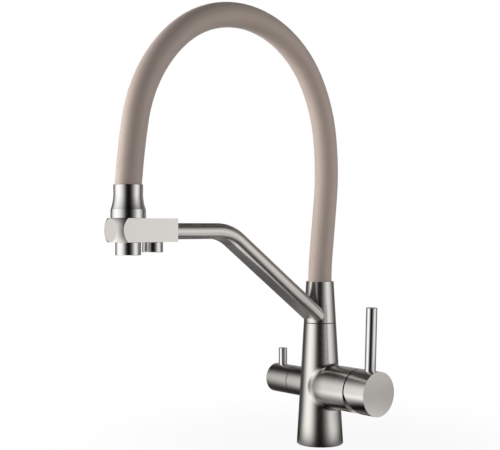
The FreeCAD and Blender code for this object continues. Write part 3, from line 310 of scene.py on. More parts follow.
def arc_points(start, middle, end, steps):
    """Points of the arc through three points of an outline, without its start."""
    (ax, ay), (bx, by), (cx, cy) = start, middle, end
    a, b, c = ax**2 + ay**2, bx**2 + by**2, cx**2 + cy**2
    divisor = 2 * (ax * (by - cy) + bx * (cy - ay) + cx * (ay - by))
    ux = (a * (by - cy) + b * (cy - ay) + c * (ay - by)) / divisor
    uy = (a * (cx - bx) + b * (ax - cx) + c * (bx - ax)) / divisor
    radius = math.hypot(ax - ux, ay - uy)
    first = math.atan2(ay - uy, ax - ux)
    sweep = math.remainder(math.atan2(cy - uy, cx - ux) - first, math.tau)
    return [(ux + radius * math.cos(first + sweep * step / steps),
             uy + radius * math.sin(first + sweep * step / steps)) for step in range(1, steps + 1)]


def take(piece):
    """Makes a piece the only selected and the active one."""
    bpy.ops.object.select_all(action="DESELECT")
    piece.select_set(True)
    bpy.context.view_layer.objects.active = piece


def modify(piece, kind, **settings):
    """Adds a modifier with its settings to the piece in hand and applies it."""
    bpy.ops.object.modifier_add(type=kind)
    modifier = piece.modifiers[-1]
    for name, value in settings.items():
        setattr(modifier, name, value)
    bpy.ops.object.modifier_apply(modifier=modifier.name)


def cut(piece, tools, operation="DIFFERENCE"):
    """Cuts tools out of a piece, joins them to it or keeps what they share, and removes them."""
    for tool in tools:
        take(piece)
        modify(piece, "BOOLEAN", operation=operation, solver="EXACT", object=tool)
        take(tool)
        bpy.ops.object.delete()
    take(piece)


def polished(piece, edge, sharp):
    """Rounds the edges sharper than an angle, shades the rest smooth and keeps flat faces flat."""
    take(piece)
    if edge > 0:
        modify(piece, "BEVEL", width=edge, segments=EDGE_STEPS, limit_method="ANGLE",
               angle_limit=math.radians(sharp))
    bpy.ops.object.shade_smooth_by_angle(angle=math.radians(sharp))
    modify(piece, "WEIGHTED_NORMAL", keep_sharp=True)


def fitted(piece, body, slot, material, *nodes):
    """Puts the finish on, hangs the piece on the empty of the body it rides on, and hides the frame's nodes that
    it stands for.
    """
    piece.data.materials.clear()
    piece.data.materials.append(material)
    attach(piece, body)
    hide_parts(*nodes)


# Finishes

def linear(hex_colour):
    """Linear RGBA of an sRGB hex value."""
    parts = [int(hex_colour[i:i + 2], 16) / 255 for i in (1, 3, 5)]
    return [p / 12.92 if p <= 0.04045 else ((p + 0.055) / 1.055) ** 2.4 for p in parts] + [1.0]


def node(tree, kind, inputs=None, **settings):
    """Adds a node with its settings; an input is set, or linked where a socket is given."""
    made = tree.nodes.new(kind)
    for name, value in settings.items():
        setattr(made, name, value)
    for key, value in (inputs or {}).items():
        if isinstance(value, bpy.types.NodeSocket):
            tree.links.new(value, made.inputs[key])
        else:
            made.inputs[key].default_value = value
    return made


def new_finish(name):
    """Empty material, ready for its nodes."""
    material = bpy.data.materials.new(name)
    material.use_nodes = True
    material.node_tree.nodes.clear()
    return material


def grained(name, hex_colour, roughness, spread, grain, relief, metallic=0.0, stretch=(1, 1, 1), tint=0.03,
            **more):
    """Principled finish with a stretched noise as its grain, which moves roughness and relief.

    grain and relief are real sizes in metres, and tint is how much deeper the tone gets in faint clouds.
    """
    material = new_finish(name)
    tree = material.node_tree
    place = node(tree, "ShaderNodeTexCoord").outputs["Object"]
    mapped = node(tree, "ShaderNodeMapping", {"Vector": place, "Scale": stretch})
    noise = node(tree, "ShaderNodeTexNoise", {
        "Vector": mapped.outputs["Vector"], "Scale": 1 / grain, "Detail": 3.0, "Roughness": 0.55})
    clouds = node(tree, "ShaderNodeTexNoise", {"Vector": place, "Scale": 1 / CLOUD_SIZE, "Detail": 2.0})
    # Noise stays between about 0.3 and 0.7
    rough = node(tree, "ShaderNodeMapRange", {
        "Value": noise.outputs["Fac"], "From Min": 0.3, "From Max": 0.7,
        "To Min": roughness - spread, "To Max": roughness + spread})
    full = linear(hex_colour)
    deep = [channel * (1 - tint) for channel in full[:3]] + [1.0]
    tone = node(tree, "ShaderNodeMix", {0: clouds.outputs["Fac"], 6: deep, 7: full}, data_type="RGBA")
    bump = node(tree, "ShaderNodeBump", {"Height": noise.outputs["Fac"], "Strength": 1.0, "Distance": relief})
    settings = {"Base Color": tone.outputs[2], "Metallic": metallic, "Roughness": rough.outputs["Result"],
                "Normal": bump.outputs["Normal"]}
    settings.update(more)
    shader = node(tree, "ShaderNodeBsdfPrincipled", settings)
    node(tree, "ShaderNodeOutputMaterial", {"Surface": shader.outputs["BSDF"]})
    return material


def brushed_nickel(name, lines_vary, rougher=0.0):
    """Satin nickel plate, brushed on a belt: fine lines run round or along the piece.

    The real lines are about 0.1 mm apart, too fine to show, so they are drawn 0.8 mm apart and shallow.
    lines_vary holds 1 for the axes across the lines and 0 for those along them. The arm and the block
    are a little rougher than the rest.
    """
    finishes = bpy.context.scene.tap_finishes
    along = BRUSH_LINE / BRUSH_RUN
    stretch = [1.0 if across_lines else along for across_lines in lines_vary]
    return grained(name, finishes.nickel, metallic=1.0, roughness=finishes.nickel_roughness + rougher,
                   spread=0.02, stretch=stretch, grain=BRUSH_LINE, relief=0.0000002, tint=0.04)


def polished_chrome():
    """Bright chrome plate, buffed: mirror-like with a faint haze from handling; made once and shared."""
    finishes = bpy.context.scene.tap_finishes
    return bpy.data.materials.get("polished_chrome") or grained(
        "polished_chrome", finishes.chrome, metallic=1.0, roughness=finishes.chrome_roughness,
        spread=0.025, grain=0.004, relief=0.0000005, tint=0.02)


def taupe_silicone():
    """Moulded silicone sleeve: matt and slightly soft in the light, with a fine skin and faint dust."""
    finishes = bpy.context.scene.tap_finishes
    return grained("taupe_silicone", finishes.silicone, roughness=finishes.silicone_roughness,
                   spread=0.06, grain=0.0012, relief=0.00002, tint=0.05,
                   **{"Sheen Weight": 0.25, "Sheen Roughness": 0.45, "IOR": 1.41})


def inner_finishes():
    """Finishes of the pieces that show only in gaps, or with the tap taken apart, by material slot.

    Their real tool marks and skin are finer, and are drawn 0.6 to 1.5 mm wide so that they show.
    """
    finishes = bpy.context.scene.tap_finishes
    return {
        # Brass turned from bar: fine rings left by the tool
        "plain_brass": grained("machined_brass", finishes.brass, roughness=0.28, spread=0.06, grain=0.0006,
                               relief=0.000003, metallic=1.0, stretch=(1, 1, 0.2)),
        # Stainless steel as drawn: faint lines along it
        "plain_steel": grained("drawn_steel", finishes.steel, roughness=0.32, spread=0.06, grain=0.0006,
                               relief=0.000003, metallic=1.0, stretch=(1, 1, 0.1)),
        # Nitrile rubber seals: matt, with moulding bloom
        "black_rubber": grained("nitrile_rubber", finishes.rubber, roughness=0.62, spread=0.08, grain=0.0008,
                                relief=0.00001, tint=0.2, IOR=1.52),
        # Acetal mouldings: smooth, slightly waxy
        "white_plastic": grained("white_acetal", finishes.white_plastic, roughness=0.38, spread=0.05,
                                 grain=0.0015, relief=0.000006, IOR=1.48),
        # Dark acetal and rubber-like plastic: satin
        "dark_plastic": grained("dark_acetal", finishes.dark_plastic, roughness=0.42, spread=0.06,
                                grain=0.0015, relief=0.000006, tint=0.15, IOR=1.48),
        # Alumina discs: ground dead flat
        "ceramic": grained("ground_alumina", finishes.ceramic, roughness=0.2, spread=0.04, grain=0.0006,
                           relief=0.000001, tint=0.02, IOR=1.76),
        "polished_chrome": polished_chrome(),
    }


# The arch of the hose and the arm, laid in the spout's plane

def heading(slope):
    """Direction in the spout's plane: 0 is up, a quarter turn is out along the spout."""
    return Vector((0, -math.sin(slope), math.cos(slope)))


def solve_arch(sizes, start_height, end_height, reach, bends):
    """Scale of the arch and length of its leaning leg, from where the hose starts and ends."""
    lean = sizes.lean_angle
    gone = rise = 0.0
    before = -lean
    for radius, after in bends:
        gone += radius * (math.cos(before) - math.cos(after))
        rise += radius * (math.sin(after) - math.sin(before))
        before = after
    foot_gone = -sizes.lean_radius * (1 - math.cos(lean))
    foot_rise = sizes.hose_foot + sizes.lean_radius * math.sin(lean)
    left_over = end_height + sizes.hose_end - start_height - foot_rise
    scale = (reach - foot_gone + left_over * math.tan(lean)) / (gone + rise * math.tan(lean))
    return scale, (left_over - scale * rise) / math.cos(lean)


def lay(point, slope, steps, fine):
    """Extrudes and spins the selected ring along runs and bends, and merges what they double.

    A run is a length, a bend is a radius and a new slope, and fine is the angle of one of its steps.
    """
    for step in steps:
        if isinstance(step, tuple):
            radius, after = step
            turn = after - slope
            centre = point + heading(slope + math.pi / 2) * radius * math.copysign(1, turn)
            bpy.ops.mesh.spin(steps=max(2, round(abs(turn) / fine)), angle=-turn, center=centre, axis=RIGHT)
            point = centre + Quaternion(RIGHT, turn) @ (point - centre)
            slope = after
        else:
            bpy.ops.mesh.extrude_edges_move(TRANSFORM_OT_translate={"value": heading(slope) * step})
            point = point + heading(slope) * step
    bpy.ops.mesh.select_all(action="SELECT")
    bpy.ops.mesh.remove_doubles(threshold=MERGE)


def column_radius(sizes, height):
    """Outside radius of the tapered column and cone at a height."""
    return sizes.base_radius + (sizes.rim_radius - sizes.base_radius) * height / high("swivel_cone").z


def valve_centre():
    """Where the two valves' common axis crosses the column's."""
    return UP * joint("mixer_temperature")["pos_m"][2]


class TAP_OT_column(bpy.types.Operator):
    """Casting of the column: a plain taper with both valve housings standing out of it"""
    bl_idname = "tap.column"
    bl_label = "Column"

    def execute(self, context):
        sizes = context.scene.tap_sizes
        seam = low("slip_ring").z
        edge = sizes.base_edge
        taper = [(sizes.base_radius - edge, 0.0)]
        for ring in range(COLUMN_RINGS + 1):
            height = edge + (seam - edge) * ring / COLUMN_RINGS
            taper.append((column_radius(sizes, height), height))
        column = turned("column_casting", taper, Vector(), UP, sizes.segments)
        mixer = self.mixer_housing(sizes)
        radius = high("filter_knob").y
        face = -high("filter_knob").x - FILTER_GAP
        small = [(radius, face * ring / FILTER_RINGS) for ring in range(FILTER_RINGS + 1)]
        filter_housing = turned("filter_housing", small, valve_centre(), LEFT, sizes.segments)
        cut(column, [mixer, filter_housing], "UNION")
        self.roll_corner(column, sizes)
        cut(column, self.underside())
        polished(column, CASTING_EDGE, sharp=32)
        fitted(column, "column", "brushed_nickel", brushed_nickel("brushed_nickel_column", (0, 0, 1)),
               "body_shell")
        return {"FINISHED"}

    def mixer_housing(self, sizes):
        """Big housing: swells from its root to the knob's radius, and is open for the cartridge."""
        face = sizes.mixer_face
        places = [face * ring / MIXER_RINGS for ring in range(MIXER_RINGS + 1)]
        outline = [(self.mixer_radius(sizes, place), place) for place in places]
        bore = sizes.nut_thread_radius
        outline += [(bore, face), (bore, low("cartridge_nut").x)]
        return turned("mixer_housing", outline, valve_centre(), RIGHT, sizes.segments)

    def mixer_radius(self, sizes, place):
        """Radius of the big housing at a place along the valves' axis."""
        full = high("mixer_knob").y
        drop = full - sizes.mixer_root_radius
        bulge = (sizes.mixer_root_length ** 2 + drop ** 2) / (2 * drop)
        before = max(0.0, sizes.mixer_root_length - place)
        return full - bulge + math.sqrt(bulge ** 2 - before ** 2)

    def roll_corner(self, column, sizes):
        """Moves the points near the corner of column and big housing onto a soft hollow between them."""
        taper = math.atan((sizes.base_radius - sizes.rim_radius) / high("swivel_cone").z)
        middle = valve_centre().z

        def off(spot):
            """Distances off the column and off the housing, and how far the hollow reaches there."""
            column_off = (math.hypot(spot.x, spot.y) - column_radius(sizes, spot.z)) * math.cos(taper)
            housing_off = math.hypot(spot.y, spot.z - middle) - self.mixer_radius(sizes, spot.x)
            start = min(max(spot.x / sizes.hollow_start, 0.0), 1.0)
            return column_off, housing_off, sizes.hollow * start * start * (3 - 2 * start)

        def off_hollow(spot):
            """Distance off the column and housing, joined by the hollow."""
            first, second, reach = off(spot)
            share = min(max(0.5 + (second - first) / (2 * max(reach, 1e-9)), 0.0), 1.0)
            return second + (first - second) * share - reach * share * (1 - share)

        def slope_along(spot, way):
            """How fast that distance grows along a direction."""
            step = way * HOLLOW_STEP
            return (off_hollow(spot + step) - off_hollow(spot - step)) / (2 * HOLLOW_STEP)

        for point in column.data.vertices:
            first, second, reach = off(point.co)
            if point.co.x > 0 and max(abs(first), abs(second)) < reach:
                for _ in range(HOLLOW_ROUNDS):
                    spot = point.co.copy()
                    slope = Vector([slope_along(spot, way) for way in (RIGHT, BACK, UP)])
                    point.co = spot - slope * off_hollow(spot) / slope.length_squared

    def underside(self):
        """Tools for the ports, the stud bores and the gasket's groove."""
        tools = []
        for mount in frame["record"]["mounts"]:
            dims = mount["dims"]
            if mount["kind"] == "threaded_hole":
                tools.append(bar("port_tool", dims["r_mm"] / 1000, -TOOL_MARGIN, dims["length_mm"] / 1000,
                                 Vector(mount["pos_m"]), UP))
            elif mount["kind"] == "bolt_pattern":
                half = dims["spacing_y_mm"] / 2000
                for y in (-half, half):
                    tools.append(bar("stud_tool", dims["hole_r_mm"] / 1000, -TOOL_MARGIN, STUD_DEPTH,
                                     Vector((0, y, 0)), UP))
        gasket = high("base_gasket")
        inner, outer = gasket.y - GASKET_WIDTH - GASKET_GAP, gasket.y + GASKET_GAP
        groove = [(inner, -TOOL_MARGIN), (outer, -TOOL_MARGIN), (outer, gasket.z), (inner, gasket.z)]
        tools.append(turned("groove_tool", groove, Vector(), UP, SMALL_SIDES, closed=True))
        return tools


class TAP_OT_cone(bpy.types.Operator):
    """Turning cone over the seam, open at its rim for the hose and bored at the back for its screw"""
    bl_idname = "tap.cone"
    bl_label = "Turning cone"

    def execute(self, context):
        sizes = context.scene.tap_sizes
        foot = low("swivel_cone").z
        rim = high("swivel_cone").z
        seat = low("spout_hose").z
        opening = sizes.hose_radius + HOSE_GAP
        outline = [(POST_BORE, foot)]
        for ring in range(CONE_RINGS + 1):
            height = foot + (rim - foot) * ring / CONE_RINGS
            outline.append((column_radius(sizes, height), height))
        outline += [(opening, rim), (opening, seat), (POST_BORE, seat)]
        cone = turned("turning_cone", outline, Vector(), UP, sizes.segments, closed=True)
        first, last = low("retaining_screw"), high("retaining_screw")
        hole = bar("screw_tool", (last.x - first.x) / 2, POST_BORE + SCREW_START, sizes.base_radius,
                   UP * (first.z + last.z) / 2, BACK)
        cut(cone, [hole])
        polished(cone, CONE_EDGE, sharp=32)
        fitted(cone, "spout", "brushed_nickel", brushed_nickel("brushed_nickel_cone", (0, 0, 1)),
               "swivel_cone")
        return {"FINISHED"}


class TAP_OT_arm(bpy.types.Operator):
    """Oval arm: rises from the cone, bends once and runs level into the outlet block"""
    bl_idname = "tap.arm"
    bl_label = "Arm"

    def execute(self, context):
        sizes = context.scene.tap_sizes
        level = (low("outlet_block").z + high("outlet_block").z) / 2 - sizes.arm_drop
        slope = math.pi / 2 - sizes.arm_rise
        corner = (level - sizes.arm_foot_height) / math.tan(sizes.arm_rise)
        tangent = sizes.arm_bend_radius * math.tan(sizes.arm_rise / 2)
        incline = corner / math.cos(sizes.arm_rise) - tangent
        level_run = -low("arm_tube").y - corner - tangent
        start = UP * sizes.arm_foot_height + heading(slope) * ARM_START
        arm = begin(bpy.ops.mesh.primitive_circle_add, "arm", vertices=sizes.segments,
                    radius=sizes.arm_half_height, location=start, rotation=(slope, 0, 0))
        for side in (RIGHT, LEFT):
            choose(arm, lambda spot: spot.dot(side) > MERGE)
            bpy.ops.transform.translate(value=side * (sizes.arm_half_width - sizes.arm_half_height))
        bpy.ops.mesh.select_all(action="SELECT")
        lay(start, slope, [incline - ARM_START, (sizes.arm_bend_radius, math.pi / 2), level_run], ARM_TURN)
        bpy.ops.mesh.fill_holes(sides=0)
        bpy.ops.mesh.select_all(action="SELECT")
        bpy.ops.mesh.bisect(plane_co=UP * (low("swivel_cone").z + sizes.arm_seam_gap), plane_no=UP,
                            use_fill=True, clear_inner=True)
        outwards()
        polished(arm, 0.0, sharp=40)
        fitted(arm, "spout", "brushed_nickel",
               brushed_nickel("brushed_nickel_arm", (1, 0, 1), rougher=0.09), "arm_tube")
        return {"FINISHED"}


class TAP_OT_block(bpy.types.Operator):
    """Outlet block: square, with its nose cut to a ball and a flat end"""
    bl_idname = "tap.block"
    bl_label = "Outlet block"

    def execute(self, context):
        sizes = context.scene.tap_sizes
        first, last = low("outlet_block"), high("outlet_block")
        ball_centre = (low("aerator_housing") + high("aerator_housing")) / 2
        ball_centre.z = (first.z + last.z) / 2
        block = begin(bpy.ops.mesh.primitive_cube_add, "outlet_block_piece", size=1.0,
                      location=(first + last) / 2, stretch=last - first)
        ball = begin(bpy.ops.mesh.primitive_uv_sphere_add, "nose_tool", segments=NOSE_SIDES,
                     ring_count=NOSE_SIDES // 2, radius=sizes.nose_radius, location=ball_centre,
                     rotation=(math.pi / 2, 0, 0))
        end = last.y + TOOL_MARGIN
        size = Vector((last.x - first.x + 2 * TOOL_MARGIN, end - ball_centre.y,
                       last.z - first.z + 2 * TOOL_MARGIN))
        place = Vector((0, (end + ball_centre.y) / 2, ball_centre.z))
        keeper = begin(bpy.ops.mesh.primitive_cube_add, "tail_tool", size=1.0, location=place, stretch=size)
        cut(ball, [keeper], "UNION")
        cut(block, [ball], "INTERSECT")
        polished(block, sizes.polished_edge, sharp=25)
        fitted(block, "spout", "brushed_nickel",
               brushed_nickel("brushed_nickel_block", (1, 0, 1), rougher=0.04), "outlet_block")
        return {"FINISHED"}


class TAP_OT_hose(bpy.types.Operator):
    """Silicone sleeve that stands from the cone, arches over and comes down into the collar"""
    bl_idname = "tap.hose"
    bl_label = "Hose"

    def execute(self, context):
        sizes = context.scene.tap_sizes
        bends = [(sizes.back_radius, sizes.back_heading), (sizes.shoulder_radius, sizes.shoulder_heading),
                 (sizes.crown_radius, sizes.crown_heading), (sizes.fall_radius, sizes.fall_heading),
                 (sizes.drop_radius, sizes.drop_heading), (sizes.neck_radius, math.pi)]
        start = UP * low("hose_core").z
        reach = -(low("hose_collar").y + high("hose_collar").y) / 2
        end = high("outlet_block").z + FITTING_FLANGE + HOSE_GAP
        scale, leg = solve_arch(sizes, start.z, end, reach, bends)
        hose = begin(bpy.ops.mesh.primitive_circle_add, "hose_sleeve", vertices=HOSE_SIDES,
                     radius=sizes.hose_radius, location=start)
        edit_all()
        steps = [sizes.hose_foot, (sizes.lean_radius, -sizes.lean_angle)] + [leg / LEG_RUNS] * LEG_RUNS
        steps += [(radius * scale, after) for radius, after in bends] + [sizes.hose_end / END_RUNS] * END_RUNS
        lay(start, 0.0, steps, HOSE_TURN)
        outwards()
        modify(hose, "SOLIDIFY", thickness=sizes.hose_radius - sizes.hose_bore, offset=-1.0)
        polished(hose, 0.0, sharp=40)
        fitted(hose, "spout", "taupe_silicone", taupe_silicone(), "spout_hose")
        return {"FINISHED"}


class TAP_OT_collar(bpy.types.Operator):
    """Bell collar over the hose's end, flaring down to the outlet block"""
    bl_idname = "tap.collar"
    bl_label = "Collar"

    def execute(self, context):
        sizes = context.scene.tap_sizes
        first, last = low("hose_collar"), high("hose_collar")
        axis = Vector(((first.x + last.x) / 2, (first.y + last.y) / 2, 0))
        foot_radius = (last.x - first.x) / 2
        foot, top = first.z, last.z
        flange = foot + sizes.collar_flange
        flare = foot + sizes.collar_flare
        bow = ((foot_radius + COLLAR_TOP) / 2 - COLLAR_BOW, (flange + flare) / 2)
        inside_top = sizes.hose_radius + HOSE_GAP
        inside_foot = foot_radius - COLLAR_WALL
        outline = [(inside_foot, foot), (foot_radius, foot), (foot_radius, flange)]
        outline += arc_points((foot_radius, flange), bow, (sizes.collar_waist, flare), FLARE_STEPS)
        outline += [(COLLAR_TOP, top), (inside_top, top), (inside_top, flare - COLLAR_STEP),
                    (inside_foot, flange)]
        collar = turned("bell_collar", outline, axis, UP, sizes.segments, closed=True)
        polished(collar, sizes.polished_edge, sharp=40)
        fitted(collar, "spout", "polished_chrome", polished_chrome(), "hose_collar")
        return {"FINISHED"}


class TAP_OT_aerators(bpy.types.Operator):
    """Polished rings of the main and the filtered outlet, each with a rounded lip"""
    bl_idname = "tap.aerators"
    bl_label = "Aerators"

    def execute(self, context):
        sizes = context.scene.tap_sizes
        underside = low("outlet_block").z
        for name, housing, wall in (
                ("aerator_ring", "aerator_housing", AERATOR_WALL),
                ("filtered_aerator_ring", "filtered_aerator_housing", FILTERED_AERATOR_WALL)):
            first, last = low(housing), high(housing)
            axis = Vector((0, (first.y + last.y) / 2, 0))
            radius = (last.x - first.x) / 2
            outline = [(radius - wall, first.z), (radius, first.z), (radius, underside),
                       (radius - wall, underside)]
            ring = turned(name, outline, axis, UP, sizes.segments, closed=True)
            polished(ring, sizes.turned_edge, sharp=40)
            fitted(ring, "spout", "polished_chrome", polished_chrome(), housing)
        return {"FINISHED"}


class TAP_OT_knobs(bpy.types.Operator):
    """Round knobs of both valves; the back of the big one is cut away below so that it can tilt"""
    bl_idname = "tap.knobs"
    bl_label = "Knobs"

    def execute(self, context):
        sizes = context.scene.tap_sizes
        self.mixer_knob(sizes)
        self.filter_knob(sizes)
        return {"FINISHED"}

    def hollow_knob(self, name, radius, start, end, cavity, floor, axis, segments):
        """Knob with a hollow of a radius and a floor in its back, from rings along its own axis."""
        outline = [(cavity, floor), (cavity, start)]
        outline += [(radius, start + (end - start) * ring / KNOB_RINGS) for ring in range(KNOB_RINGS + 1)]
        return turned(name, outline, valve_centre(), axis, segments)

    def screw_hole(self, screw, radius):
        """Tool for the grub screw's bore, from under a knob of a radius to past the screw's end."""
        first, last = low(screw), high(screw)
        middle = Vector(((first.x + last.x) / 2, 0, valve_centre().z))
        return bar("grub_tool", (last.x - first.x) / 2, -radius - TOOL_MARGIN,
                   first.z - valve_centre().z + GRUB_DEPTH, middle, UP)

    def mixer_knob(self, sizes):
        """Big knob, cut back below where it would meet its housing."""
        last = high("mixer_knob")
        start = sizes.mixer_face + sizes.mixer_gap
        knob = self.hollow_knob("mixer_knob_piece", last.y, start, last.x, sizes.cavity_radius,
                                sizes.cavity_floor, RIGHT, sizes.segments)
        corner = Vector((start, 0, valve_centre().z))
        edit_all()
        bpy.ops.mesh.bisect(plane_co=corner, use_fill=True, clear_inner=True,
                            plane_no=(math.cos(sizes.cut_angle), 0, math.sin(sizes.cut_angle)))
        outwards()
        cut(knob, [self.screw_hole("mixer_grub_screw", last.y)])
        polished(knob, sizes.polished_edge, sharp=32)
        fitted(knob, "mixer_handle", "brushed_nickel",
               brushed_nickel("brushed_nickel_valves", (1, 0, 0)), "mixer_knob")

    def filter_knob(self, sizes):
        """Small knob over the headwork of the filtered valve."""
        first, last = low("filter_knob"), high("filter_knob")
        knob = self.hollow_knob("filter_knob_piece", last.y, -last.x, -first.x, sizes.filter_cavity_radius,
                                sizes.filter_cavity_depth - last.x, LEFT, sizes.segments)
        cut(knob, [self.screw_hole("filter_grub_screw", last.y)])
        polished(knob, sizes.polished_edge, sharp=32)
        fitted(knob, "filter_handle", "brushed_nickel",
               brushed_nickel("brushed_nickel_filter", (1, 0, 0)), "filter_knob")


class TAP_OT_levers(bpy.types.Operator):
    """Polished pins that work the two valves, each standing out of its knob"""
    bl_idname = "tap.levers"
    bl_label = "Levers"

    def execute(self, context):
        sizes = context.scene.tap_sizes
        self.pin("mixer_lever_piece", "mixer_lever", "mixer_knob", sizes.lever_lean, "mixer_handle", sizes)
        self.pin("filter_lever_piece", "filter_lever", "filter_knob", 0.0, "filter_handle", sizes)
        return {"FINISHED"}

    def pin(self, name, lever, knob, lean, body, sizes):
        """Round pin from inside its knob to its flat, finely bevelled top."""
        first, last = low(lever), high(lever)
        direction = Vector((math.sin(lean), 0, math.cos(lean)))
        radius = last.y
        rise = last.z - valve_centre().z - radius * math.sin(lean)
        reach = rise / math.cos(lean)
        side = 1 if last.x > 0 else -1
        middle_top = (last.x if side > 0 else first.x) - side * radius * math.cos(lean)
        root = Vector((middle_top - math.sin(lean) * reach * side, 0, valve_centre().z))
        foot = high(knob).y - PIN_SINK
        outline = [(radius, foot + (reach - foot) * ring / LEVER_RINGS) for ring in range(LEVER_RINGS + 1)]
        pin = turned(name, outline, root, direction, SMALL_SIDES)
        polished(pin, sizes.turned_edge, sharp=40)
        fitted(pin, body, "polished_chrome", polished_chrome(), lever)


class TAP_OT_inner_pieces(bpy.types.Operator):
    """Finishes of the pieces inside, which keep the frame's own shapes"""
    bl_idname = "tap.inner_pieces"
    bl_label = "Inner pieces"

    def execute(self, context):
        finishes = inner_finishes()
        for part in frame["record"]["subparts"]:
            piece = frame["nodes"][part["node"]]
            if part["material_slot"] in finishes:
                piece.data.materials.clear()
                piece.data.materials.append(finishes[part["material_slot"]])
        return {"FINISHED"}


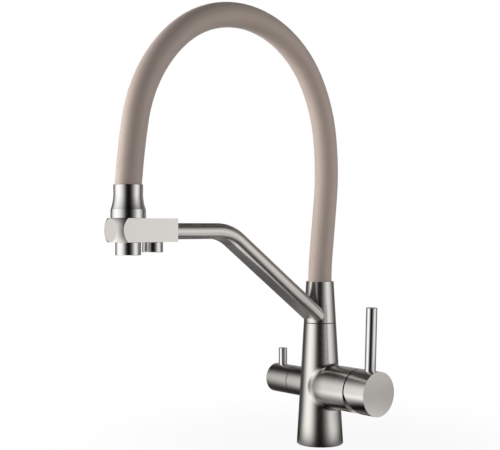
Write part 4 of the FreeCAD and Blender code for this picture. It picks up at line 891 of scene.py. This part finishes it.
class TAP_OT_studio(bpy.types.Operator):
    """Pale floor, soft lamps, a ring of light and dark for the metal, and the photograph's view"""
    bl_idname = "tap.studio"
    bl_label = "Studio"

    def execute(self, context):
        scene = context.scene
        scene.view_settings.view_transform = "Standard"
        self.camera(scene)
        self.backdrop(scene)
        self.floor()
        self.strips()
        self.lamp("key_light", degrees=-87, lift=8, distance=1.0, size=0.7, power=17)
        self.lamp("fill_light", degrees=84, lift=8, distance=0.8, size=0.6, power=3)
        self.lamp("front_light", degrees=12, lift=0, distance=1.2, size=0.8, power=2.2)
        return {"FINISHED"}

    def camera(self, scene):
        """Long lens at the height of the outlet, looking level from the valve side of the spout."""
        bpy.ops.object.select_all(action="DESELECT")
        bpy.ops.object.camera_add(location=CAMERA_PLACE,
                                  rotation=(math.pi / 2, 0, math.radians(CAMERA_TURN)))
        camera = bpy.context.object
        camera.name = "camera"
        camera.data.lens = 72
        camera.data.sensor_width = 36
        camera.data.clip_start = 0.01
        scene.camera = camera

    def backdrop(self, scene):
        """White for the camera and for glass; the tap gets a softer light that fades away overhead."""
        world = bpy.data.worlds.new("studio")
        scene.world = world
        world.use_nodes = True
        tree = world.node_tree
        tree.nodes.clear()
        path = node(tree, "ShaderNodeLightPath")
        seen = node(tree, "ShaderNodeMath", {0: path.outputs["Is Camera Ray"],
                                             1: path.outputs["Is Transmission Ray"]}, operation="MAXIMUM")
        white = node(tree, "ShaderNodeBackground", {"Color": linear("#FFFFFF"), "Strength": 1.0})
        way = node(tree, "ShaderNodeTexCoord").outputs["Generated"]
        height = node(tree, "ShaderNodeSeparateXYZ", {"Vector": way}).outputs["Z"]
        level = node(tree, "ShaderNodeMapRange", {
            "Value": height, "From Min": 0.0, "From Max": 0.9, "To Min": AMBIENT_LEVEL, "To Max": 0.0})
        soft = node(tree, "ShaderNodeBackground",
                    {"Color": linear("#FFFFFF"), "Strength": level.outputs["Result"]})
        both = node(tree, "ShaderNodeMixShader",
                    {0: seen.outputs[0], 1: soft.outputs[0], 2: white.outputs[0]})
        node(tree, "ShaderNodeOutputWorld", {"Surface": both.outputs[0]})

    def floor(self):
        """Pale floor that keeps a soft shadow near the tap, with a faint painted shade there too, and is lost in
        the white further off.
        """
        floor = begin(bpy.ops.mesh.primitive_circle_add, "floor", vertices=STAGE_SIDES, radius=FLOOR_RADIUS,
                      fill_type="NGON")
        material = new_finish("pale_floor")
        tree = material.node_tree
        place = node(tree, "ShaderNodeTexCoord").outputs["Object"]
        far = node(tree, "ShaderNodeVectorMath", {0: place}, operation="LENGTH")
        # Painted shade: near the tap more of the grey diffuse floor is mixed in, so the floor renders darker there
        # even outside the real shadow
        fade = node(tree, "ShaderNodeMapRange", {
            "Value": far.outputs["Value"], "From Min": 0.05, "From Max": 0.35,
            "To Min": 0.92, "To Max": 1.0}, interpolation_type="SMOOTHSTEP")
        path = node(tree, "ShaderNodeLightPath")
        seen = node(tree, "ShaderNodeMath", {0: path.outputs["Is Camera Ray"], 1: fade.outputs["Result"]},
                    operation="MULTIPLY")
        pale = node(tree, "ShaderNodeBsdfDiffuse", {"Color": linear("#BDBDBD")})
        white = node(tree, "ShaderNodeEmission", {"Color": linear("#FFFFFF"), "Strength": 1.0})
        both = node(tree, "ShaderNodeMixShader",
                    {0: seen.outputs[0], 1: pale.outputs[0], 2: white.outputs[0]})
        node(tree, "ShaderNodeOutputMaterial", {"Surface": both.outputs[0]})
        floor.data.materials.append(material)

    def strips(self):
        """Soft boxes and dark cards that only the metal sees: a tall ring round the tap, and its foot."""
        wall = begin(bpy.ops.mesh.primitive_cylinder_add, "light_ring", vertices=STAGE_SIDES,
                     radius=RING_RADIUS, depth=RING_HEIGHT, location=(0, 0, RING_HEIGHT / 2),
                     end_fill_type="NOTHING")
        # The foot lies just over the floor
        ground = begin(bpy.ops.mesh.primitive_circle_add, "light_ring_foot", vertices=STAGE_SIDES,
                       radius=RING_RADIUS, location=(0, 0, 0.0005), fill_type="NGON")
        for card in (wall, ground):
            for ray in ("camera", "diffuse", "shadow", "transmission"):
                setattr(card, f"visible_{ray}", False)
        wall.data.materials.append(self.strip_light("light_ring", standing=True))
        ground.data.materials.append(self.strip_light("light_ring_foot", standing=False))

    def strip_light(self, name, standing):
        """Light by direction round the tap: less of it high up the ring, and on the ground near the tap.

        A soft grey card on the ground, behind on the right, is what the end of the big knob mirrors.
        """
        material = new_finish(name)
        tree = material.node_tree
        place = node(tree, "ShaderNodeTexCoord").outputs["Object"]
        turn = node(tree, "ShaderNodeTexGradient", {"Vector": place}, gradient_type="RADIAL")
        ramp = node(tree, "ShaderNodeValToRGB", {"Fac": turn.outputs["Fac"]})
        ramp.color_ramp.interpolation = "B_SPLINE"
        stops = ramp.color_ramp.elements
        while len(stops) > 1:
            stops.remove(stops[-1])
        for number, (degrees, light) in enumerate(RING_LIGHT):
            where = (degrees + CAMERA_SIDE + 180) / 360
            stop = stops[0] if number == 0 else stops.new(where)
            stop.position = where
            stop.color = (light, light, light, 1.0)
        parts = node(tree, "ShaderNodeSeparateXYZ", {"Vector": place})
        if standing:
            fade = node(tree, "ShaderNodeMapRange", {
                "Value": parts.outputs["Z"], "From Min": 0.25, "From Max": 0.25 + RING_RADIUS,
                "To Min": 1.0, "To Max": 0.12}, interpolation_type="SMOOTHSTEP")
        else:
            far = node(tree, "ShaderNodeVectorMath", {0: place}, operation="LENGTH")
            card = node(tree, "ShaderNodeVectorMath", {0: place, 1: GREY_CARD}, operation="DISTANCE")
            beside = node(tree, "ShaderNodeMapRange", {
                "Value": card.outputs["Value"], "From Min": 0.05, "From Max": 0.25,
                "To Min": 0.5, "To Max": 1.0}, interpolation_type="SMOOTHSTEP")
            fade = node(tree, "ShaderNodeMapRange", {
                "Value": far.outputs["Value"], "From Min": 0.05, "From Max": 0.16,
                "To Min": 0.2, "To Max": beside.outputs["Result"]})
        strength = node(tree, "ShaderNodeMath", {0: fade.outputs["Result"], 1: RING_STRENGTH},
                        operation="MULTIPLY")
        light = node(tree, "ShaderNodeEmission",
                     {"Color": ramp.outputs["Color"], "Strength": strength.outputs[0]})
        node(tree, "ShaderNodeOutputMaterial", {"Surface": light.outputs[0]})
        return material

    def lamp(self, name, degrees, lift, distance, size, power):
        """Soft square lamp at an angle round from the camera's side, aimed at the middle of the tap."""
        turn = math.radians(degrees + CAMERA_SIDE)
        up = math.radians(lift)
        way = Vector((math.cos(turn) * math.cos(up), math.sin(turn) * math.cos(up), math.sin(up)))
        bpy.ops.object.select_all(action="DESELECT")
        bpy.ops.object.light_add(type="AREA", location=LAMP_AIM + distance * way,
                                 rotation=way.to_track_quat("Z", "Y").to_euler())
        lamp = bpy.context.object
        lamp.name = name
        lamp.data.energy = power
        lamp.data.size = size
        lamp.visible_glossy = False


class TAP_PT_panel(bpy.types.Panel):
    """Lists the tap's pieces in the order they are made"""
    bl_label = "Mixer Tap"
    bl_idname = "TAP_PT_panel"
    bl_space_type = "VIEW_3D"
    bl_region_type = "UI"
    bl_category = "Mixer Tap"

    def draw(self, context):
        for operator in OPERATORS:
            self.layout.operator(operator.bl_idname)
        for group in (context.scene.tap_sizes, context.scene.tap_finishes):
            box = self.layout.box()
            for name in group.__annotations__:
                box.prop(group, name)


OPERATORS = (TAP_OT_column, TAP_OT_cone, TAP_OT_arm, TAP_OT_block, TAP_OT_hose, TAP_OT_collar,
             TAP_OT_aerators, TAP_OT_knobs, TAP_OT_levers, TAP_OT_inner_pieces, TAP_OT_studio)
CLASSES = (TapSizes, TapFinishes) + OPERATORS + (TAP_PT_panel,)


def register():
    for cls in CLASSES:
        bpy.utils.register_class(cls)
    bpy.types.Scene.tap_sizes = PointerProperty(type=TapSizes)
    bpy.types.Scene.tap_finishes = PointerProperty(type=TapFinishes)


def unregister():
    del bpy.types.Scene.tap_sizes
    del bpy.types.Scene.tap_finishes
    for cls in reversed(CLASSES):
        bpy.utils.unregister_class(cls)


def main():
    """Makes every piece in order."""
    register()
    for operator in OPERATORS:
        group, name = operator.bl_idname.split(".")
        getattr(getattr(bpy.ops, group), name)()


if __name__ == "__main__":
    main()
